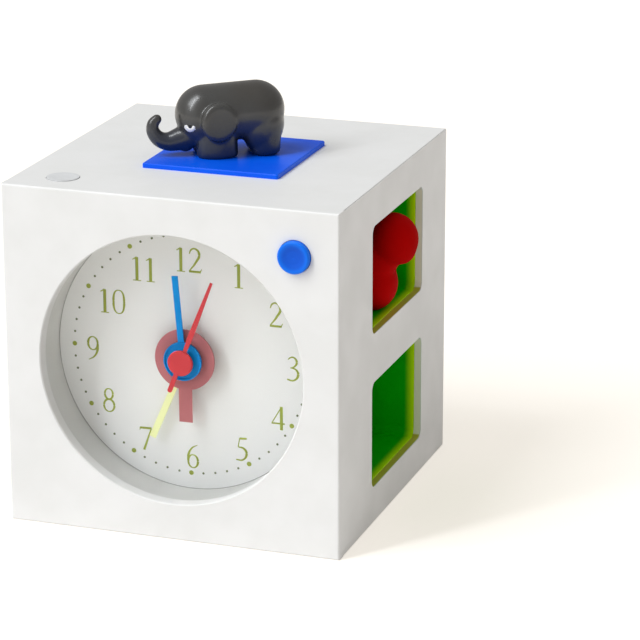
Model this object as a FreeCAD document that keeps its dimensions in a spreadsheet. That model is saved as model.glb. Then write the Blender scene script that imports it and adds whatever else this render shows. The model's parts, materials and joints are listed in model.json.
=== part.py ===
import FreeCAD, Part
import os
import re
import Sketcher
from FreeCAD import Placement, Rotation, Vector

# Talking clock: a painted cube with a sunk dial, figure cubbies in both sides and toy animals.
# Millimetres, +Z up, the face looks along -Y, origin under the middle of the case.

# Lengths that can each be set by themselves
SIZES = {
    # painted case
    "case_width": 120.0,
    "case_depth": 120.0,
    "case_height": 120.6,
    "panel_thickness": 4.5,
    "edge_round": 0.7,
    "seam_notch": 0.25,
    "seat_gap": 0.1,
    # sunk dial
    "dial_border": 12.7,
    "opening_round": 0.4,
    "tube_step": 1.0,
    "tube_wall": 3.5,
    "disc_ledge": 1.7,
    "lens_thickness": 1.5,
    "dial_depth": 18.5,
    "dial_thickness": 0.6,
    "backplate_thickness": 2.0,
    # movement case
    "movement_width": 52.0,
    "movement_thickness": 12.0,
    "movement_wall": 1.2,
    "movement_corner": 4.0,
    "front_shell_depth": 5.9,
    "bushing_radius": 4.2,
    "bushing_proud": 2.1,
    "nut_flats": 11.0,
    "nut_thickness": 1.6,
    "stator_width": 2.0,
    "stator_gap": 2.3,
    # wheel work behind the dial
    "running_gap": 0.06,
    "layer_gap": 0.4,
    "wheel_thickness": 1.0,
    "tooth_module": 0.5,
    "arbor_radius": 0.5,
    "pipe_wall": 0.75,
    "shaft_radius": 1.5,
    "bearing_height": 1.2,
    "bearing_wall": 1.2,
    # heights of the hands above the dial
    "alarm_hand_height": 3.1,
    "hour_hand_height": 4.8,
    "minute_hand_height": 6.6,
    "second_hand_height": 9.0,
    "hand_thickness": 0.5,
    "alarm_hub_radius": 5.0,
    "alarm_bar_width": 2.3,
    "alarm_reach": 32.5,
    "hour_disc_radius": 10.8,
    "hour_bar_width": 4.75,
    "hour_reach": 22.4,
    "minute_hub_radius": 6.8,
    "minute_rim": 0.5,
    "minute_bar_width": 2.15,
    "minute_reach": 30.0,
    "second_hub_radius": 4.5,
    "second_cap": 0.9,
    "second_neck_width": 1.3,
    "second_belly_width": 1.9,
    "second_tip_width": 0.9,
    "second_belly_place": 11.0,
    "second_tail_width": 1.6,
    "second_tail_round": 0.7,
    "second_reach": 31.6,
    "second_tail": 11.5,
    # figure cubbies in the sides
    "cubby_gap": 2.0,
    "cubby_corner": 3.0,
    "cubby_wall": 1.0,
    "cubby_flange": 3.0,
    "cubby_jamb": 2.6,
    "cubby_lip": 0.4,
    "cubby_front_inset": 35.0,
    "cubby_back_inset": 28.0,
    "cubby_head": 13.9,
    "cubby_rail": 17.3,
    "lower_cubby_sill": 13.0,
    # back cover
    "cover_recess": 6.5,
    "cover_thickness": 2.5,
    "cover_gap": 0.3,
    "cover_corner": 1.5,
    "block_width": 11.0,
    "block_length": 15.0,
    "screw_inset": 5.5,
    "screw_radius": 1.45,
    "screw_length": 12.0,
    "screw_head_radius": 2.8,
    "screw_head_height": 1.7,
    "screw_slot": 0.8,
    "screw_clearance": 0.25,
    # setting knobs
    "knob_radius": 7.5,
    "knob_height": 5.6,
    "knob_round": 0.6,
    "knob_groove": 0.7,
    "knob_standoff": 0.4,
    # speaker behind its grille
    "speaker_radius": 20.0,
    "speaker_depth": 11.5,
    "speaker_rim": 3.0,
    "speaker_rim_thickness": 1.6,
    "speaker_magnet_radius": 9.0,
    "speaker_magnet_depth": 5.0,
    "speaker_drop": 29.6,
    "grille_radius": 15.5,
    "grille_slot": 1.6,
    "grille_pitch": 4.4,
    # battery box
    "cell_radius": 7.1,
    "cell_length": 49.2,
    "cell_tip_radius": 2.6,
    "cell_tip_height": 1.2,
    "cell_gap": 0.4,
    "contact_thickness": 0.4,
    "contact_bulge": 1.3,
    "tray_wall": 1.2,
    "tray_drop": 5.6,
    "door_ledge": 2.0,
    "door_plug": 1.2,
    "door_gap": 0.35,
    "door_margin": 1.6,
    "door_grip": 0.8,
    "door_grip_step": 2.2,
    # alarm switch
    "switch_inset": 24.0,
    "switch_width": 6.0,
    "switch_length": 13.0,
    "switch_depth": 5.0,
    "switch_slot_width": 3.4,
    "switch_nub_width": 2.6,
    "switch_nub_length": 4.0,
    "switch_nub_proud": 2.2,
    "switch_travel": 4.0,
    "switch_gap": 0.35,
    # speech board
    "board_width": 22.0,
    "board_gap": 3.2,
    "board_headroom": 14.1,
    "board_thickness": 1.6,
    "board_standoff": 5.4,
    "board_post_radius": 2.6,
    "board_post_inset": 4.5,
    "chip_width": 10.0,
    "chip_thickness": 1.8,
    "can_radius": 3.0,
    "can_height": 6.0,
    # blue front button and pale top key
    "button_radius": 5.55,
    "button_gap": 0.2,
    "button_proud": 2.0,
    "button_dish": 0.7,
    "button_rim": 0.9,
    "button_edge": 0.45,
    "button_travel": 1.5,
    "button_flange": 1.3,
    "button_flange_thickness": 1.2,
    "button_stem_radius": 2.4,
    "button_inset": 15.4,
    "button_drop": 15.8,
    "key_radius": 5.6,
    "key_proud": 0.25,
    "key_dish": 0.2,
    "key_side_inset": 16.8,
    "key_front_inset": 13.9,
    "guide_wall": 1.5,
    "guide_depth": 9.0,
    "guide_gap": 0.35,
    "tact_width": 6.0,
    "tact_height": 3.5,
    "tact_plunger_radius": 1.7,
    "tact_plunger": 0.6,
    "press_gap": 0.35,
    # blue stage on the top
    "stage_width": 49.3,
    "stage_thickness": 1.65,
    "stage_corner": 0.8,
    "stage_bevel": 0.3,
    "stage_x": 2.0,
    "stage_y": 1.3,
    "peg_radius": 2.0,
    "peg_reach": 16.0,
    "peg_length": 4.0,
    # toy elephant, facing -X before it is turned
    "elephant_front": 20.9,
    "elephant_rear": 18.1,
    "elephant_top": 26.2,
    "elephant_belly": 5.4,
    "forehead_round": 8.4,
    "rump_round": 10.1,
    "front_leg_place": -7.8,
    "front_leg_length": 13.4,
    "front_leg_round": 3.6,
    "front_foot_round": 1.1,
    "rear_leg_place": 10.0,
    "rear_leg_length": 12.6,
    "rear_leg_round": 4.0,
    "rear_foot_round": 2.4,
    "leg_width": 8.4,
    "leg_reach": 9.1,
    "leg_top": 13.0,
    "ear_radius": 6.6,
    "ear_thickness": 3.4,
    "ear_round": 1.5,
    "ear_place": 7.0,
    "ear_reach": 9.6,
    "ear_level": 14.0,
    "trunk_root_radius": 5.0,
    "trunk_tip_radius": 1.75,
    "jaw_radius": 2.8,
    "jaw_place": 17.0,
    "jaw_level": 4.4,
    # toy animal with a bowed head, looking out of its cubby
    "figure_headroom": 3.2,
    "figure_head_radius": 9.4,
    "figure_body_radius": 10.8,
    "figure_foot_radius": 8.0,
    "figure_neck_radius": 7.6,
    "figure_bow": 9.3,
    "figure_snout_radius": 2.5,
    "figure_snout_reach": 7.4,
    "figure_back_gap": 9.2,
    "figure_shift": 1.5,
}

# Counts, angles in degrees and shares of a size
COUNTS_AND_ANGLES = {
    "minute_teeth": 12,
    "setting_wheel_teeth": 36,
    "setting_pinion_teeth": 10,
    "hour_teeth": 40,
    "second_teeth": 30,
    "alarm_teeth": 32,
    "alarm_pinion_teeth": 16,
    "time_set_angle": 210.0,
    "alarm_set_angle": 330.0,
    "hour_angle": 179.6,
    "minute_angle": 355.2,
    "alarm_angle": 203.6,
    "second_angle": 21.5,
    "knob_groove_count": 12,
    "grille_slot_count": 7,
    "door_grip_count": 5,
    "elephant_angle": 30.0,
    "ear_angle": 8.0,
    "snout_angle": 50.0,
}

# Places that follow from the lengths above
PLACES = {
    "case_right": "case_width / 2",
    "case_front": "-case_depth / 2",
    "case_back": "case_depth / 2",
    "case_top": "case_height",
    "room_right": "case_right - panel_thickness",
    "room_front": "case_front + panel_thickness",
    "room_floor": "panel_thickness",
    "room_top": "case_top - panel_thickness",
    "dial_height": "case_height / 2",
    "dial_front": "case_front + dial_depth",
    "dial_back": "dial_front + dial_thickness",
    "backplate_back": "dial_back + backplate_thickness",
    "opening_radius": "min(case_width; case_height) / 2 - dial_border",
    "tube_radius": "opening_radius + tube_step",
    "tube_outer": "tube_radius + tube_wall",
    "tube_length": "dial_back - room_front",
    "disc_radius": "tube_radius + disc_ledge",
    "shell_split": "backplate_back + front_shell_depth",
    "movement_back": "backplate_back + movement_thickness",
    "movement_floor": "dial_height - movement_width / 2",
    "movement_top": "dial_height + movement_width / 2",
    "bushing_front": "dial_front - bushing_proud",
    "cover_back": "case_back - cover_recess",
    "cover_front": "cover_back - cover_thickness",
    "cover_right": "room_right - cover_gap",
    "cover_floor": "room_floor + cover_gap",
    "cover_top": "room_top - cover_gap",
    "cubby_near": "case_front + cubby_front_inset",
    "cubby_far": "case_back - cubby_back_inset",
    "cubby_height": "(case_height - lower_cubby_sill - cubby_rail - cubby_head) / 2",
    "upper_cubby_sill": "lower_cubby_sill + cubby_height + cubby_rail",
    "cubby_mouth": "case_right - cubby_jamb",
    "cubby_bottom": "movement_width / 2 + cubby_gap",
    "gear_distance": "tooth_module * (minute_teeth + setting_wheel_teeth) / 2",
    "wheel_reach": "tooth_module * (setting_wheel_teeth / 2 + 1)",
    "wheel_floor": "dial_height + gear_distance * sin(time_set_angle * 1 deg) - wheel_reach",
    "stator_top": "wheel_floor - stator_gap",
    "hour_module": "2 * gear_distance / (hour_teeth + setting_pinion_teeth)",
    "tray_inside_length": "cell_length + cell_tip_height + 2 * contact_thickness + contact_bulge",
    "tray_inside_height": "4 * cell_radius + 3 * cell_gap",
    "tray_floor": "(room_floor + dial_height - tray_inside_height) / 2 - tray_drop",
    "tray_top": "tray_floor + tray_inside_height",
    "tray_front": "cover_front - 2 * cell_radius - cell_gap - tray_wall",
    "door_right": "tray_inside_length / 2 - door_margin",
    "door_floor": "tray_floor + door_margin",
    "door_top": "tray_top - door_margin",
    "speaker_height": "case_top - speaker_drop",
    "switch_place": "case_right - switch_inset",
    "board_place": "(speaker_radius + room_right) / 2",
    "board_floor": "dial_height + switch_length / 2 + board_gap",
    "board_top": "room_top - board_headroom",
    "board_height": "board_top - board_floor",
    "board_level": "(board_floor + board_top) / 2",
    "button_x": "case_right - button_inset",
    "button_height": "case_top - button_drop",
    "key_x": "case_right - key_side_inset",
    "key_y": "case_back - key_front_inset",
    "figure_height": "cubby_height - figure_headroom",
    "stage_top": "case_top + stage_thickness",
}

FRONT = Rotation(Vector(1, 0, 0), 90)
BACK = Rotation(Vector(1, 0, 0), -90)
UP = Rotation()
AXIS_X = Vector(1, 0, 0)
AXIS_Y = Vector(0, 1, 0)
AXIS_Z = Vector(0, 0, 1)

doc = FreeCAD.newDocument("TalkingClock")
sheet = doc.addObject("Spreadsheet::Sheet", "Sizes")
aliases = []
parts = {}


# Sheet of sizes
def fill_sheet():
    formulas = {name: "=" + formula for name, formula in PLACES.items()}
    for table in (SIZES, COUNTS_AND_ANGLES, formulas):
        for name, content in table.items():
            aliases.append(name)
            cell = "A%d" % len(aliases)
            sheet.set(cell, str(content))
            sheet.setAlias(cell, name)
    doc.recompute()


def size(name):
    return float(sheet.get(name))


def point_at_sheet(word):
    return "Sizes." + word.group() if word.group() in aliases else word.group()


def link(text):
    """The same expression with each size name pointed at the sheet."""
    return re.sub(r"[a-z_]\w*", point_at_sheet, text)


def bind(item, **expressions):
    for name, text in expressions.items():
        item.setExpression(name, link(text))


def keep(item, label):
    """Register an object as one sub-part under its own label."""
    item.Label = label
    parts[label] = item
    return item


def place(item, x="0", y="0", z="0", turn=UP):
    item.Placement = Placement(Vector(), turn)
    for axis, text in zip("xyz", (x, y, z)):
        item.setExpression("Placement.Base." + axis, link(text))


# Sketches
def origin_plane(body, role):
    return next(feature for feature in body.Origin.OriginFeatures if feature.Role == role)


def new_body(label):
    return keep(doc.addObject("PartDesign::Body", label), label)


def new_sketch(body, name, role, level="0"):
    """A sketch across X, Y or Z at the given place along that axis."""
    sketch = body.newObject("Sketcher::SketchObject", name)
    sketch.AttachmentSupport = [(origin_plane(body, role), "")]
    sketch.MapMode = "FlatFace"
    sign = "-" if role == "XZ_Plane" else ""
    sketch.setExpression("AttachmentOffset.Base.z", link("%s(%s)" % (sign, level)))
    return sketch


def fix(sketch, kind, geometry, point, text):
    """One dimension from the sketch's origin to a point, driven by the sheet."""
    index = sketch.addConstraint(Sketcher.Constraint(kind, -1, 1, geometry, point, 1.0))
    sketch.setExpression("Constraints[%d]" % index, link(text))


def add_outline(sketch, points):
    count = len(points)
    first = len(sketch.Geometry)
    for index in range(count):
        after = (index + 1) % count
        start = Vector(index, index * index, 0)
        end = Vector(after, after * after, 0)
        sketch.addGeometry(Part.LineSegment(start, end), False)
    for index in range(count):
        after = first + (index + 1) % count
        sketch.addConstraint(Sketcher.Constraint("Coincident", first + index, 2, after, 1))
    for index, (across, along) in enumerate(points):
        fix(sketch, "DistanceX", first + index, 1, across)
        fix(sketch, "DistanceY", first + index, 1, along)


def add_rectangle(sketch, left, right, low, high):
    add_outline(sketch, [(left, low), (right, low), (right, high), (left, high)])


def add_circle(sketch, across, along, radius):
    circle = sketch.addGeometry(Part.Circle(Vector(), AXIS_Z, 1.0), False)
    fix(sketch, "DistanceX", circle, 3, across)
    fix(sketch, "DistanceY", circle, 3, along)
    index = sketch.addConstraint(Sketcher.Constraint("Radius", circle, 1.0))
    sketch.setExpression("Constraints[%d]" % index, link(radius))


# Features on a body
def along_normal(sketch):
    return sketch.AttachmentSupport[0][0].Role != "XZ_Plane"


def grow(body, sketch, length, onward=True):
    """Pad from the sketch towards the positive axis, or the negative one."""
    pad = body.newObject("PartDesign::Pad", sketch.Name + "Pad")
    pad.Profile = sketch
    pad.Reversed = along_normal(sketch) != onward
    bind(pad, Length=length)
    return pad


def sink(body, sketch, length, onward=True):
    """Pocket from the sketch towards the positive axis, or the negative one."""
    doc.recompute()
    before = body.Shape.Volume
    pocket = body.newObject("PartDesign::Pocket", sketch.Name + "Pocket")
    pocket.Profile = sketch
    pocket.Reversed = along_normal(sketch) == onward
    bind(pocket, Length=length)
    doc.recompute()
    if body.Shape.Volume >= before:
        raise ValueError("%s cuts nothing" % pocket.Name)
    return pocket


def spin(body, sketch, cut=False):
    kind = "PartDesign::Groove" if cut else "PartDesign::Revolution"
    turned = body.newObject(kind, sketch.Name + "Turned")
    turned.Profile = sketch
    turned.ReferenceAxis = (sketch, ["V_Axis"])
    turned.Angle = 360
    return turned


FILLET = "PartDesign::Fillet"
CHAMFER = "PartDesign::Chamfer"


def soften(body, name, radius, chosen, kind=FILLET):
    """Fillet or chamfer the edges of the tip that the test picks."""
    doc.recompute()
    tip = body.Tip
    edges = ["Edge%d" % (index + 1) for index, edge in enumerate(tip.Shape.Edges) if chosen(edge)]
    if not edges:
        raise ValueError("%s finds no edge" % name)
    feature = body.newObject(kind, name)
    feature.Base = (tip, edges)
    if kind == FILLET:
        bind(feature, Radius=radius)
    else:
        bind(feature, Size=radius)
    return feature


def near(first, second):
    return abs(first - second) < size("seam_notch") / 10


def is_straight(edge):
    return edge.Curve.TypeId == "Part::GeomLine"


def is_round(edge, radius):
    return edge.Curve.TypeId == "Part::GeomCircle" and near(edge.Curve.Radius, radius)


def runs_along(edge, axis):
    """True for a straight edge parallel to the axis."""
    return is_straight(edge) and edge.Curve.Direction.isParallel(axis, 1e-6)


def turned_body(label, outline, x, y, z, turn):
    """A body of revolution: points are radius and height along its own axis."""
    body = new_body(label)
    sketch = new_sketch(body, label + "Profile", "XZ_Plane")
    add_outline(sketch, outline)
    spin(body, sketch)
    place(body, x, y, z, turn)
    return body


# Primitives
def box(label, x, y, z):
    """A block between pairs of places along each axis."""
    block = doc.addObject("Part::Box", label)
    spans = ["(%s) - (%s)" % (high, low) for low, high in (x, y, z)]
    bind(block, Length=spans[0], Width=spans[1], Height=spans[2])
    place(block, x[0], y[0], z[0])
    return block


def rod(label, radius, length, x, y, z, turn=UP):
    """A round bar from a point, along +Z or where the turn points it."""
    bar = doc.addObject("Part::Cylinder", label)
    bind(bar, Radius=radius, Height=length)
    place(bar, x, y, z, turn)
    return bar


def join(label, items):
    fused = doc.addObject("Part::MultiFuse", label)
    fused.Shapes = items
    return fused


def cut(label, base, tool):
    taken = doc.addObject("Part::Cut", label)
    taken.Base = base
    taken.Tool = tool
    return taken


def group(label, items):
    """Separate solids that share one node."""
    compound = doc.addObject("Part::Compound", label)
    compound.Links = items
    return keep(compound, label)


# Painted case
def make_front_panel():
    body = new_body("front_panel")
    outline = new_sketch(body, "FrontOutline", "XZ_Plane", "case_front")
    add_rectangle(outline, "-case_right", "case_right", "0", "case_top")
    grow(body, outline, "panel_thickness")
    holes = new_sketch(body, "FrontHoles", "XZ_Plane", "case_front")
    add_circle(holes, "0", "dial_height", "opening_radius")
    add_circle(holes, "button_x", "button_height", "button_radius + button_gap")
    sink(body, holes, "panel_thickness")

    def outer(edge):
        return is_straight(edge) and near(edge.BoundBox.YMax, size("case_front"))

    def round_the_dial(edge):
        return is_round(edge, size("opening_radius")) and near(edge.BoundBox.YMax, size("case_front"))

    soften(body, "FrontEdges", "edge_round", outer)
    soften(body, "OpeningEdge", "opening_round", round_the_dial, CHAMFER)


def mitred_panel(label, corners):
    """A wall of the case from the front panel to the rear edge, notched at its outer arrises."""
    body = new_body(label)
    section = new_sketch(body, label + "Section", "XZ_Plane", "room_front")
    add_outline(section, corners)
    grow(body, section, "case_back - room_front")
    return body


def make_top_panel():
    body = mitred_panel("top_panel", [
        ("-case_right + seam_notch", "case_top"),
        ("-case_right + seam_notch", "case_top - seam_notch"),
        ("-room_right", "room_top"),
        ("room_right", "room_top"),
        ("case_right - seam_notch", "case_top - seam_notch"),
        ("case_right - seam_notch", "case_top"),
    ])
    holes = new_sketch(body, "TopHoles", "XY_Plane", "room_top")
    add_circle(holes, "-key_x", "-key_y", "key_radius + button_gap")
    sink(body, holes, "panel_thickness")
    pegs = new_sketch(body, "StagePegHoles", "XY_Plane", "case_top")
    for side in ("-peg_reach", "peg_reach"):
        add_circle(pegs, "stage_x + " + side, "-stage_y", "peg_radius")
    sink(body, pegs, "peg_length + seat_gap", onward=False)


def make_base_panel():
    body = mitred_panel("base_panel", [
        ("-case_right + seam_notch", "0"),
        ("case_right - seam_notch", "0"),
        ("case_right - seam_notch", "seam_notch"),
        ("room_right", "room_floor"),
        ("-room_right", "room_floor"),
        ("-case_right + seam_notch", "seam_notch"),
    ])


def side_sign(side):
    return "" if side == "right" else "-"


def make_side_panel(side):
    sign = side_sign(side)
    body = mitred_panel(side + "_panel", [
        (sign + "case_right", "seam_notch"),
        (sign + "case_right", "case_top - seam_notch"),
        (sign + "(case_right - seam_notch)", "case_top - seam_notch"),
        (sign + "room_right", "room_top"),
        (sign + "room_right", "room_floor"),
        (sign + "(case_right - seam_notch)", "seam_notch"),
    ])
    outward = side == "right"
    for row in ("upper", "lower"):
        opening = new_sketch(body, side + row + "Opening", "YZ_Plane", sign + "room_right")
        add_rectangle(opening, *cubby_bounds(row, "0"))
        sink(body, opening, "panel_thickness", onward=outward)
        rebate = new_sketch(body, side + row + "Rebate", "YZ_Plane", sign + "room_right")
        add_rectangle(rebate, *cubby_bounds(row, "(cubby_flange + seat_gap)"))
        sink(body, rebate, "panel_thickness - cubby_jamb", onward=outward)

    def corner(edge):
        inside = size("room_front") < edge.BoundBox.YMin and edge.BoundBox.YMax < size("case_back")
        return runs_along(edge, AXIS_X) and inside

    soften(body, side + "OpeningCorners", "cubby_corner", corner)


def cubby_bounds(row, grown):
    """Rectangle of a cubby in Y and Z, let out on all sides."""
    sill = row + "_cubby_sill"
    return ("cubby_near - " + grown, "cubby_far + " + grown, sill + " - " + grown,
            sill + " + cubby_height + " + grown)


def make_cubby(side, row):
    """A moulded tray whose flange sits in the rebate behind the opening."""
    sign = side_sign(side)
    outward = side == "right"
    label = "cubby_%s_%s" % (side, row)
    body = new_body(label)
    shell = new_sketch(body, label + "Outside", "YZ_Plane", sign + "(cubby_bottom - cubby_wall)")
    add_rectangle(shell, *cubby_bounds(row, "cubby_wall"))
    grow(body, shell, "cubby_mouth - cubby_bottom + cubby_wall", onward=outward)
    flange = new_sketch(body, label + "Flange", "YZ_Plane", sign + "room_right")
    add_rectangle(flange, *cubby_bounds(row, "cubby_flange"))
    grow(body, flange, "cubby_mouth - room_right", onward=outward)
    hollow = new_sketch(body, label + "Hollow", "YZ_Plane", sign + "cubby_bottom")
    add_rectangle(hollow, *cubby_bounds(row, "0"))
    sink(body, hollow, "cubby_mouth - cubby_bottom", onward=outward)

    def mouth(edge):
        limits = edge.BoundBox
        flat = near(abs(limits.XMin), size("cubby_mouth")) and near(abs(limits.XMax), size("cubby_mouth"))
        return flat and size("cubby_near") - size("cubby_wall") < limits.YMin and on_hollow(edge)

    def on_hollow(edge):
        sill = size(row + "_cubby_sill")
        slack = size("cubby_wall")
        return sill - slack < edge.BoundBox.ZMin and edge.BoundBox.ZMax < sill + size("cubby_height") + slack

    soften(body, label + "Corners", "cubby_corner", lambda edge: runs_along(edge, AXIS_X))
    soften(body, label + "Lip", "cubby_lip", mouth, CHAMFER)


# Sunk dial
def make_dial_tube():
    seat = "disc_radius + seat_gap"
    turned_body("dial_tube", [
        ("tube_radius", "dial_thickness"),
        ("tube_radius", "tube_length - lens_thickness"),
        (seat, "tube_length - lens_thickness"),
        (seat, "tube_length"),
        ("tube_outer", "tube_length"),
        ("tube_outer", "0"),
        (seat, "0"),
        (seat, "dial_thickness"),
    ], "0", "dial_back", "dial_height", FRONT)


def flat_disc(label, radius, hole, thickness, back):
    body = new_body(label)
    sketch = new_sketch(body, label + "Rings", "XY_Plane")
    add_circle(sketch, "0", "0", radius)
    if hole:
        add_circle(sketch, "0", "0", hole)
    grow(body, sketch, thickness)
    place(body, "0", back, "dial_height", FRONT)
    return body


def make_hand_nut():
    prism = doc.addObject("Part::Prism", "NutPrism")
    prism.Polygon = 6
    bind(prism, Circumradius="nut_flats / 2 / cos(30 deg)", Height="nut_thickness")
    place(prism, "0", "dial_front", "dial_height", FRONT)
    bore = rod("NutBore", "bushing_radius", "nut_thickness", "0", "dial_front", "dial_height", FRONT)
    keep(cut("NutCut", prism, bore), "hand_nut")


# Movement
def shaft_place(name):
    """X and Z of a setting shaft, one gear distance from the hands' axis."""
    angle = name + "_angle * 1 deg"
    return ("gear_distance * cos(%s)" % angle, "dial_height + gear_distance * sin(%s)" % angle)


def make_front_shell():
    body = new_body("movement_front_shell")
    outside = new_sketch(body, "FrontShellOutside", "XZ_Plane", "backplate_back")
    add_rectangle(outside, "-movement_width / 2", "movement_width / 2", "movement_floor", "movement_top")
    grow(body, outside, "front_shell_depth")
    soften(body, "FrontShellCorners", "movement_corner", lambda edge: runs_along(edge, AXIS_Y))
    hollow = new_sketch(body, "FrontShellHollow", "XZ_Plane", "backplate_back + movement_wall")
    add_rectangle(hollow, "-movement_width / 2 + movement_wall", "movement_width / 2 - movement_wall",
                  "movement_floor + movement_wall", "movement_top - movement_wall")
    sink(body, hollow, "front_shell_depth - movement_wall")
    bushing = new_sketch(body, "Bushing", "XZ_Plane", "bushing_front")
    add_circle(bushing, "0", "dial_height", "bushing_radius")
    grow(body, bushing, "backplate_back - bushing_front")
    bore = new_sketch(body, "BushingBore", "XZ_Plane", "bushing_front")
    add_circle(bore, "0", "dial_height", "arbor_radius + 3 * pipe_wall + 4 * running_gap")
    sink(body, bore, "backplate_back + movement_wall - bushing_front")
    post = new_sketch(body, "FrontBearing", "XZ_Plane", "backplate_back + movement_wall")
    add_bearing(post, "time_set")
    grow(body, post, "bearing_height")


def add_bearing(sketch, name):
    x, z = shaft_place(name)
    add_circle(sketch, x, z, "shaft_radius + running_gap + bearing_wall")
    add_circle(sketch, x, z, "shaft_radius + running_gap")


def make_rear_shell():
    body = new_body("movement_rear_shell")
    outside = new_sketch(body, "RearShellOutside", "XZ_Plane", "shell_split")
    add_rectangle(outside, "-movement_width / 2", "movement_width / 2", "movement_floor", "movement_top")
    grow(body, outside, "movement_back - shell_split")
    soften(body, "RearShellCorners", "movement_corner", lambda edge: runs_along(edge, AXIS_Y))
    hollow = new_sketch(body, "RearShellHollow", "XZ_Plane", "shell_split")
    add_rectangle(hollow, "-movement_width / 2 + movement_wall", "movement_width / 2 - movement_wall",
                  "movement_floor + movement_wall", "movement_top - movement_wall")
    sink(body, hollow, "movement_back - movement_wall - shell_split")
    holes = new_sketch(body, "ShaftHoles", "XZ_Plane", "movement_back - movement_wall")
    for name in ("time_set", "alarm_set"):
        x, z = shaft_place(name)
        add_circle(holes, x, z, "shaft_radius + running_gap")
    sink(body, holes, "movement_wall")
    posts = new_sketch(body, "RearBearings", "XZ_Plane", "movement_back - movement_wall")
    add_bearing(posts, "time_set")
    add_bearing(posts, "alarm_set")
    grow(body, posts, "bearing_height", onward=False)


TOOTH_TIP_SHARE = 0.8
TOOTH_ROOT_SHARE = 1.15
TOOTH_FLANK_SHARES = (-0.31, -0.11, 0.11, 0.31)


def toothed_disc(teeth, module, thickness, phase):
    """A wheel with straight-flanked teeth, one tooth centred on the phase angle in degrees."""
    tip = module * (teeth / 2 + TOOTH_TIP_SHARE)
    root = module * (teeth / 2 - TOOTH_ROOT_SHARE)
    step = 360 / teeth
    points = []
    for tooth in range(int(teeth)):
        for radius, share in zip((root, tip, tip, root), TOOTH_FLANK_SHARES):
            turn = Rotation(AXIS_Z, phase + (tooth + share) * step)
            points.append(turn.multVec(Vector(radius, 0, 0)))
    outline = Part.makePolygon(points + points[:1])
    return Part.Face(outline).extrude(Vector(0, 0, thickness))


def solid_feature(label, shape, x, y, z, turn):
    """A free-form solid set on its place; the shape is already in its own frame."""
    feature = keep(doc.addObject("Part::Feature", label), label)
    feature.Shape = shape
    place(feature, x, y, z, turn)
    return feature


def tube_shape(outer, inner, low, high):
    bar = Part.makeCylinder(outer, high - low, Vector(0, 0, low))
    if inner:
        bar = bar.cut(Part.makeCylinder(inner, high - low, Vector(0, 0, low)))
    return bar


def wheel_layers():
    """Depth below the dial's front, where each wheel's rear face lies, seen along the hands' axis."""
    wall = size("dial_thickness") + size("backplate_thickness") + size("movement_wall")
    step = size("wheel_thickness") + size("layer_gap")
    alarm = wall + step
    return {"alarm": -alarm, "hour": -alarm - step, "minute": -alarm - 2 * step, "second": -alarm - 3 * step}


def make_wheel_on_pipe(label, layer, module, phase, rank):
    """A wheel with its pipe, nested rank deep around the second arbor."""
    gap = size("running_gap")
    wall = size("pipe_wall")
    inner = size("arbor_radius") + gap + (rank - 1) * (wall + gap)
    low = wheel_layers()[layer]
    height = size(layer + "_hand_height")
    wheel = toothed_disc(size(layer + "_teeth"), module, size("wheel_thickness"), phase)
    wheel.translate(Vector(0, 0, low))
    bore = tube_shape(inner, 0, low, height)
    shape = wheel.fuse(tube_shape(inner + wall, 0, low, height)).cut(bore)
    solid_feature(label, shape.removeSplitter(), "0", "dial_front", "dial_height", FRONT)


def make_wheel_work():
    module = size("tooth_module")
    time_set = size("time_set_angle")
    make_wheel_on_pipe("minute_pipe", "minute", module, time_set, 1)
    make_wheel_on_pipe("hour_pipe", "hour", size("hour_module"), time_set + 180 / size("hour_teeth"), 2)
    make_wheel_on_pipe("alarm_pipe", "alarm", module, size("alarm_set_angle"), 3)
    low = wheel_layers()["second"]
    arbor = tube_shape(size("arbor_radius"), 0, low, size("second_hand_height"))
    wheel = toothed_disc(size("second_teeth"), module, size("wheel_thickness"), 0)
    wheel.translate(Vector(0, 0, low))
    shape = arbor.fuse(wheel).removeSplitter()
    solid_feature("second_arbor", shape, "0", "dial_front", "dial_height", FRONT)


def make_setting_wheels():
    """The wheel that joins minute and hour work, and the alarm's pinion, each bored for its shaft."""
    layers = wheel_layers()
    module = size("tooth_module")
    thickness = size("wheel_thickness")
    bore = tube_shape(size("shaft_radius"), 0, layers["second"], 0)
    facing = size("time_set_angle") + 180
    teeth = size("setting_wheel_teeth")
    wheel = toothed_disc(teeth, module, thickness, facing + 180 / teeth)
    height = layers["hour"] + thickness - layers["minute"]
    pinion = toothed_disc(size("setting_pinion_teeth"), size("hour_module"), height, facing)
    shape = wheel.fuse(pinion)
    shape.translate(Vector(0, 0, layers["minute"]))
    x, z = shaft_place("time_set")
    solid_feature("setting_wheel", shape.cut(bore).removeSplitter(), x, "dial_front", z, FRONT)
    teeth = size("alarm_pinion_teeth")
    pinion = toothed_disc(teeth, module, thickness, size("alarm_set_angle") + 180 + 180 / teeth)
    pinion.translate(Vector(0, 0, layers["alarm"]))
    x, z = shaft_place("alarm_set")
    solid_feature("alarm_pinion", pinion.cut(bore), x, "dial_front", z, FRONT)


def make_setting_shaft(name):
    x, z = shaft_place(name)
    start = "backplate_back + movement_wall + layer_gap / 2"
    end = "cover_back + knob_standoff + knob_height / 2"
    shaft = rod(name + "Rod", "shaft_radius", "%s - (%s)" % (end, start), x, start, z, BACK)
    keep(shaft, name + "_shaft")


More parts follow.
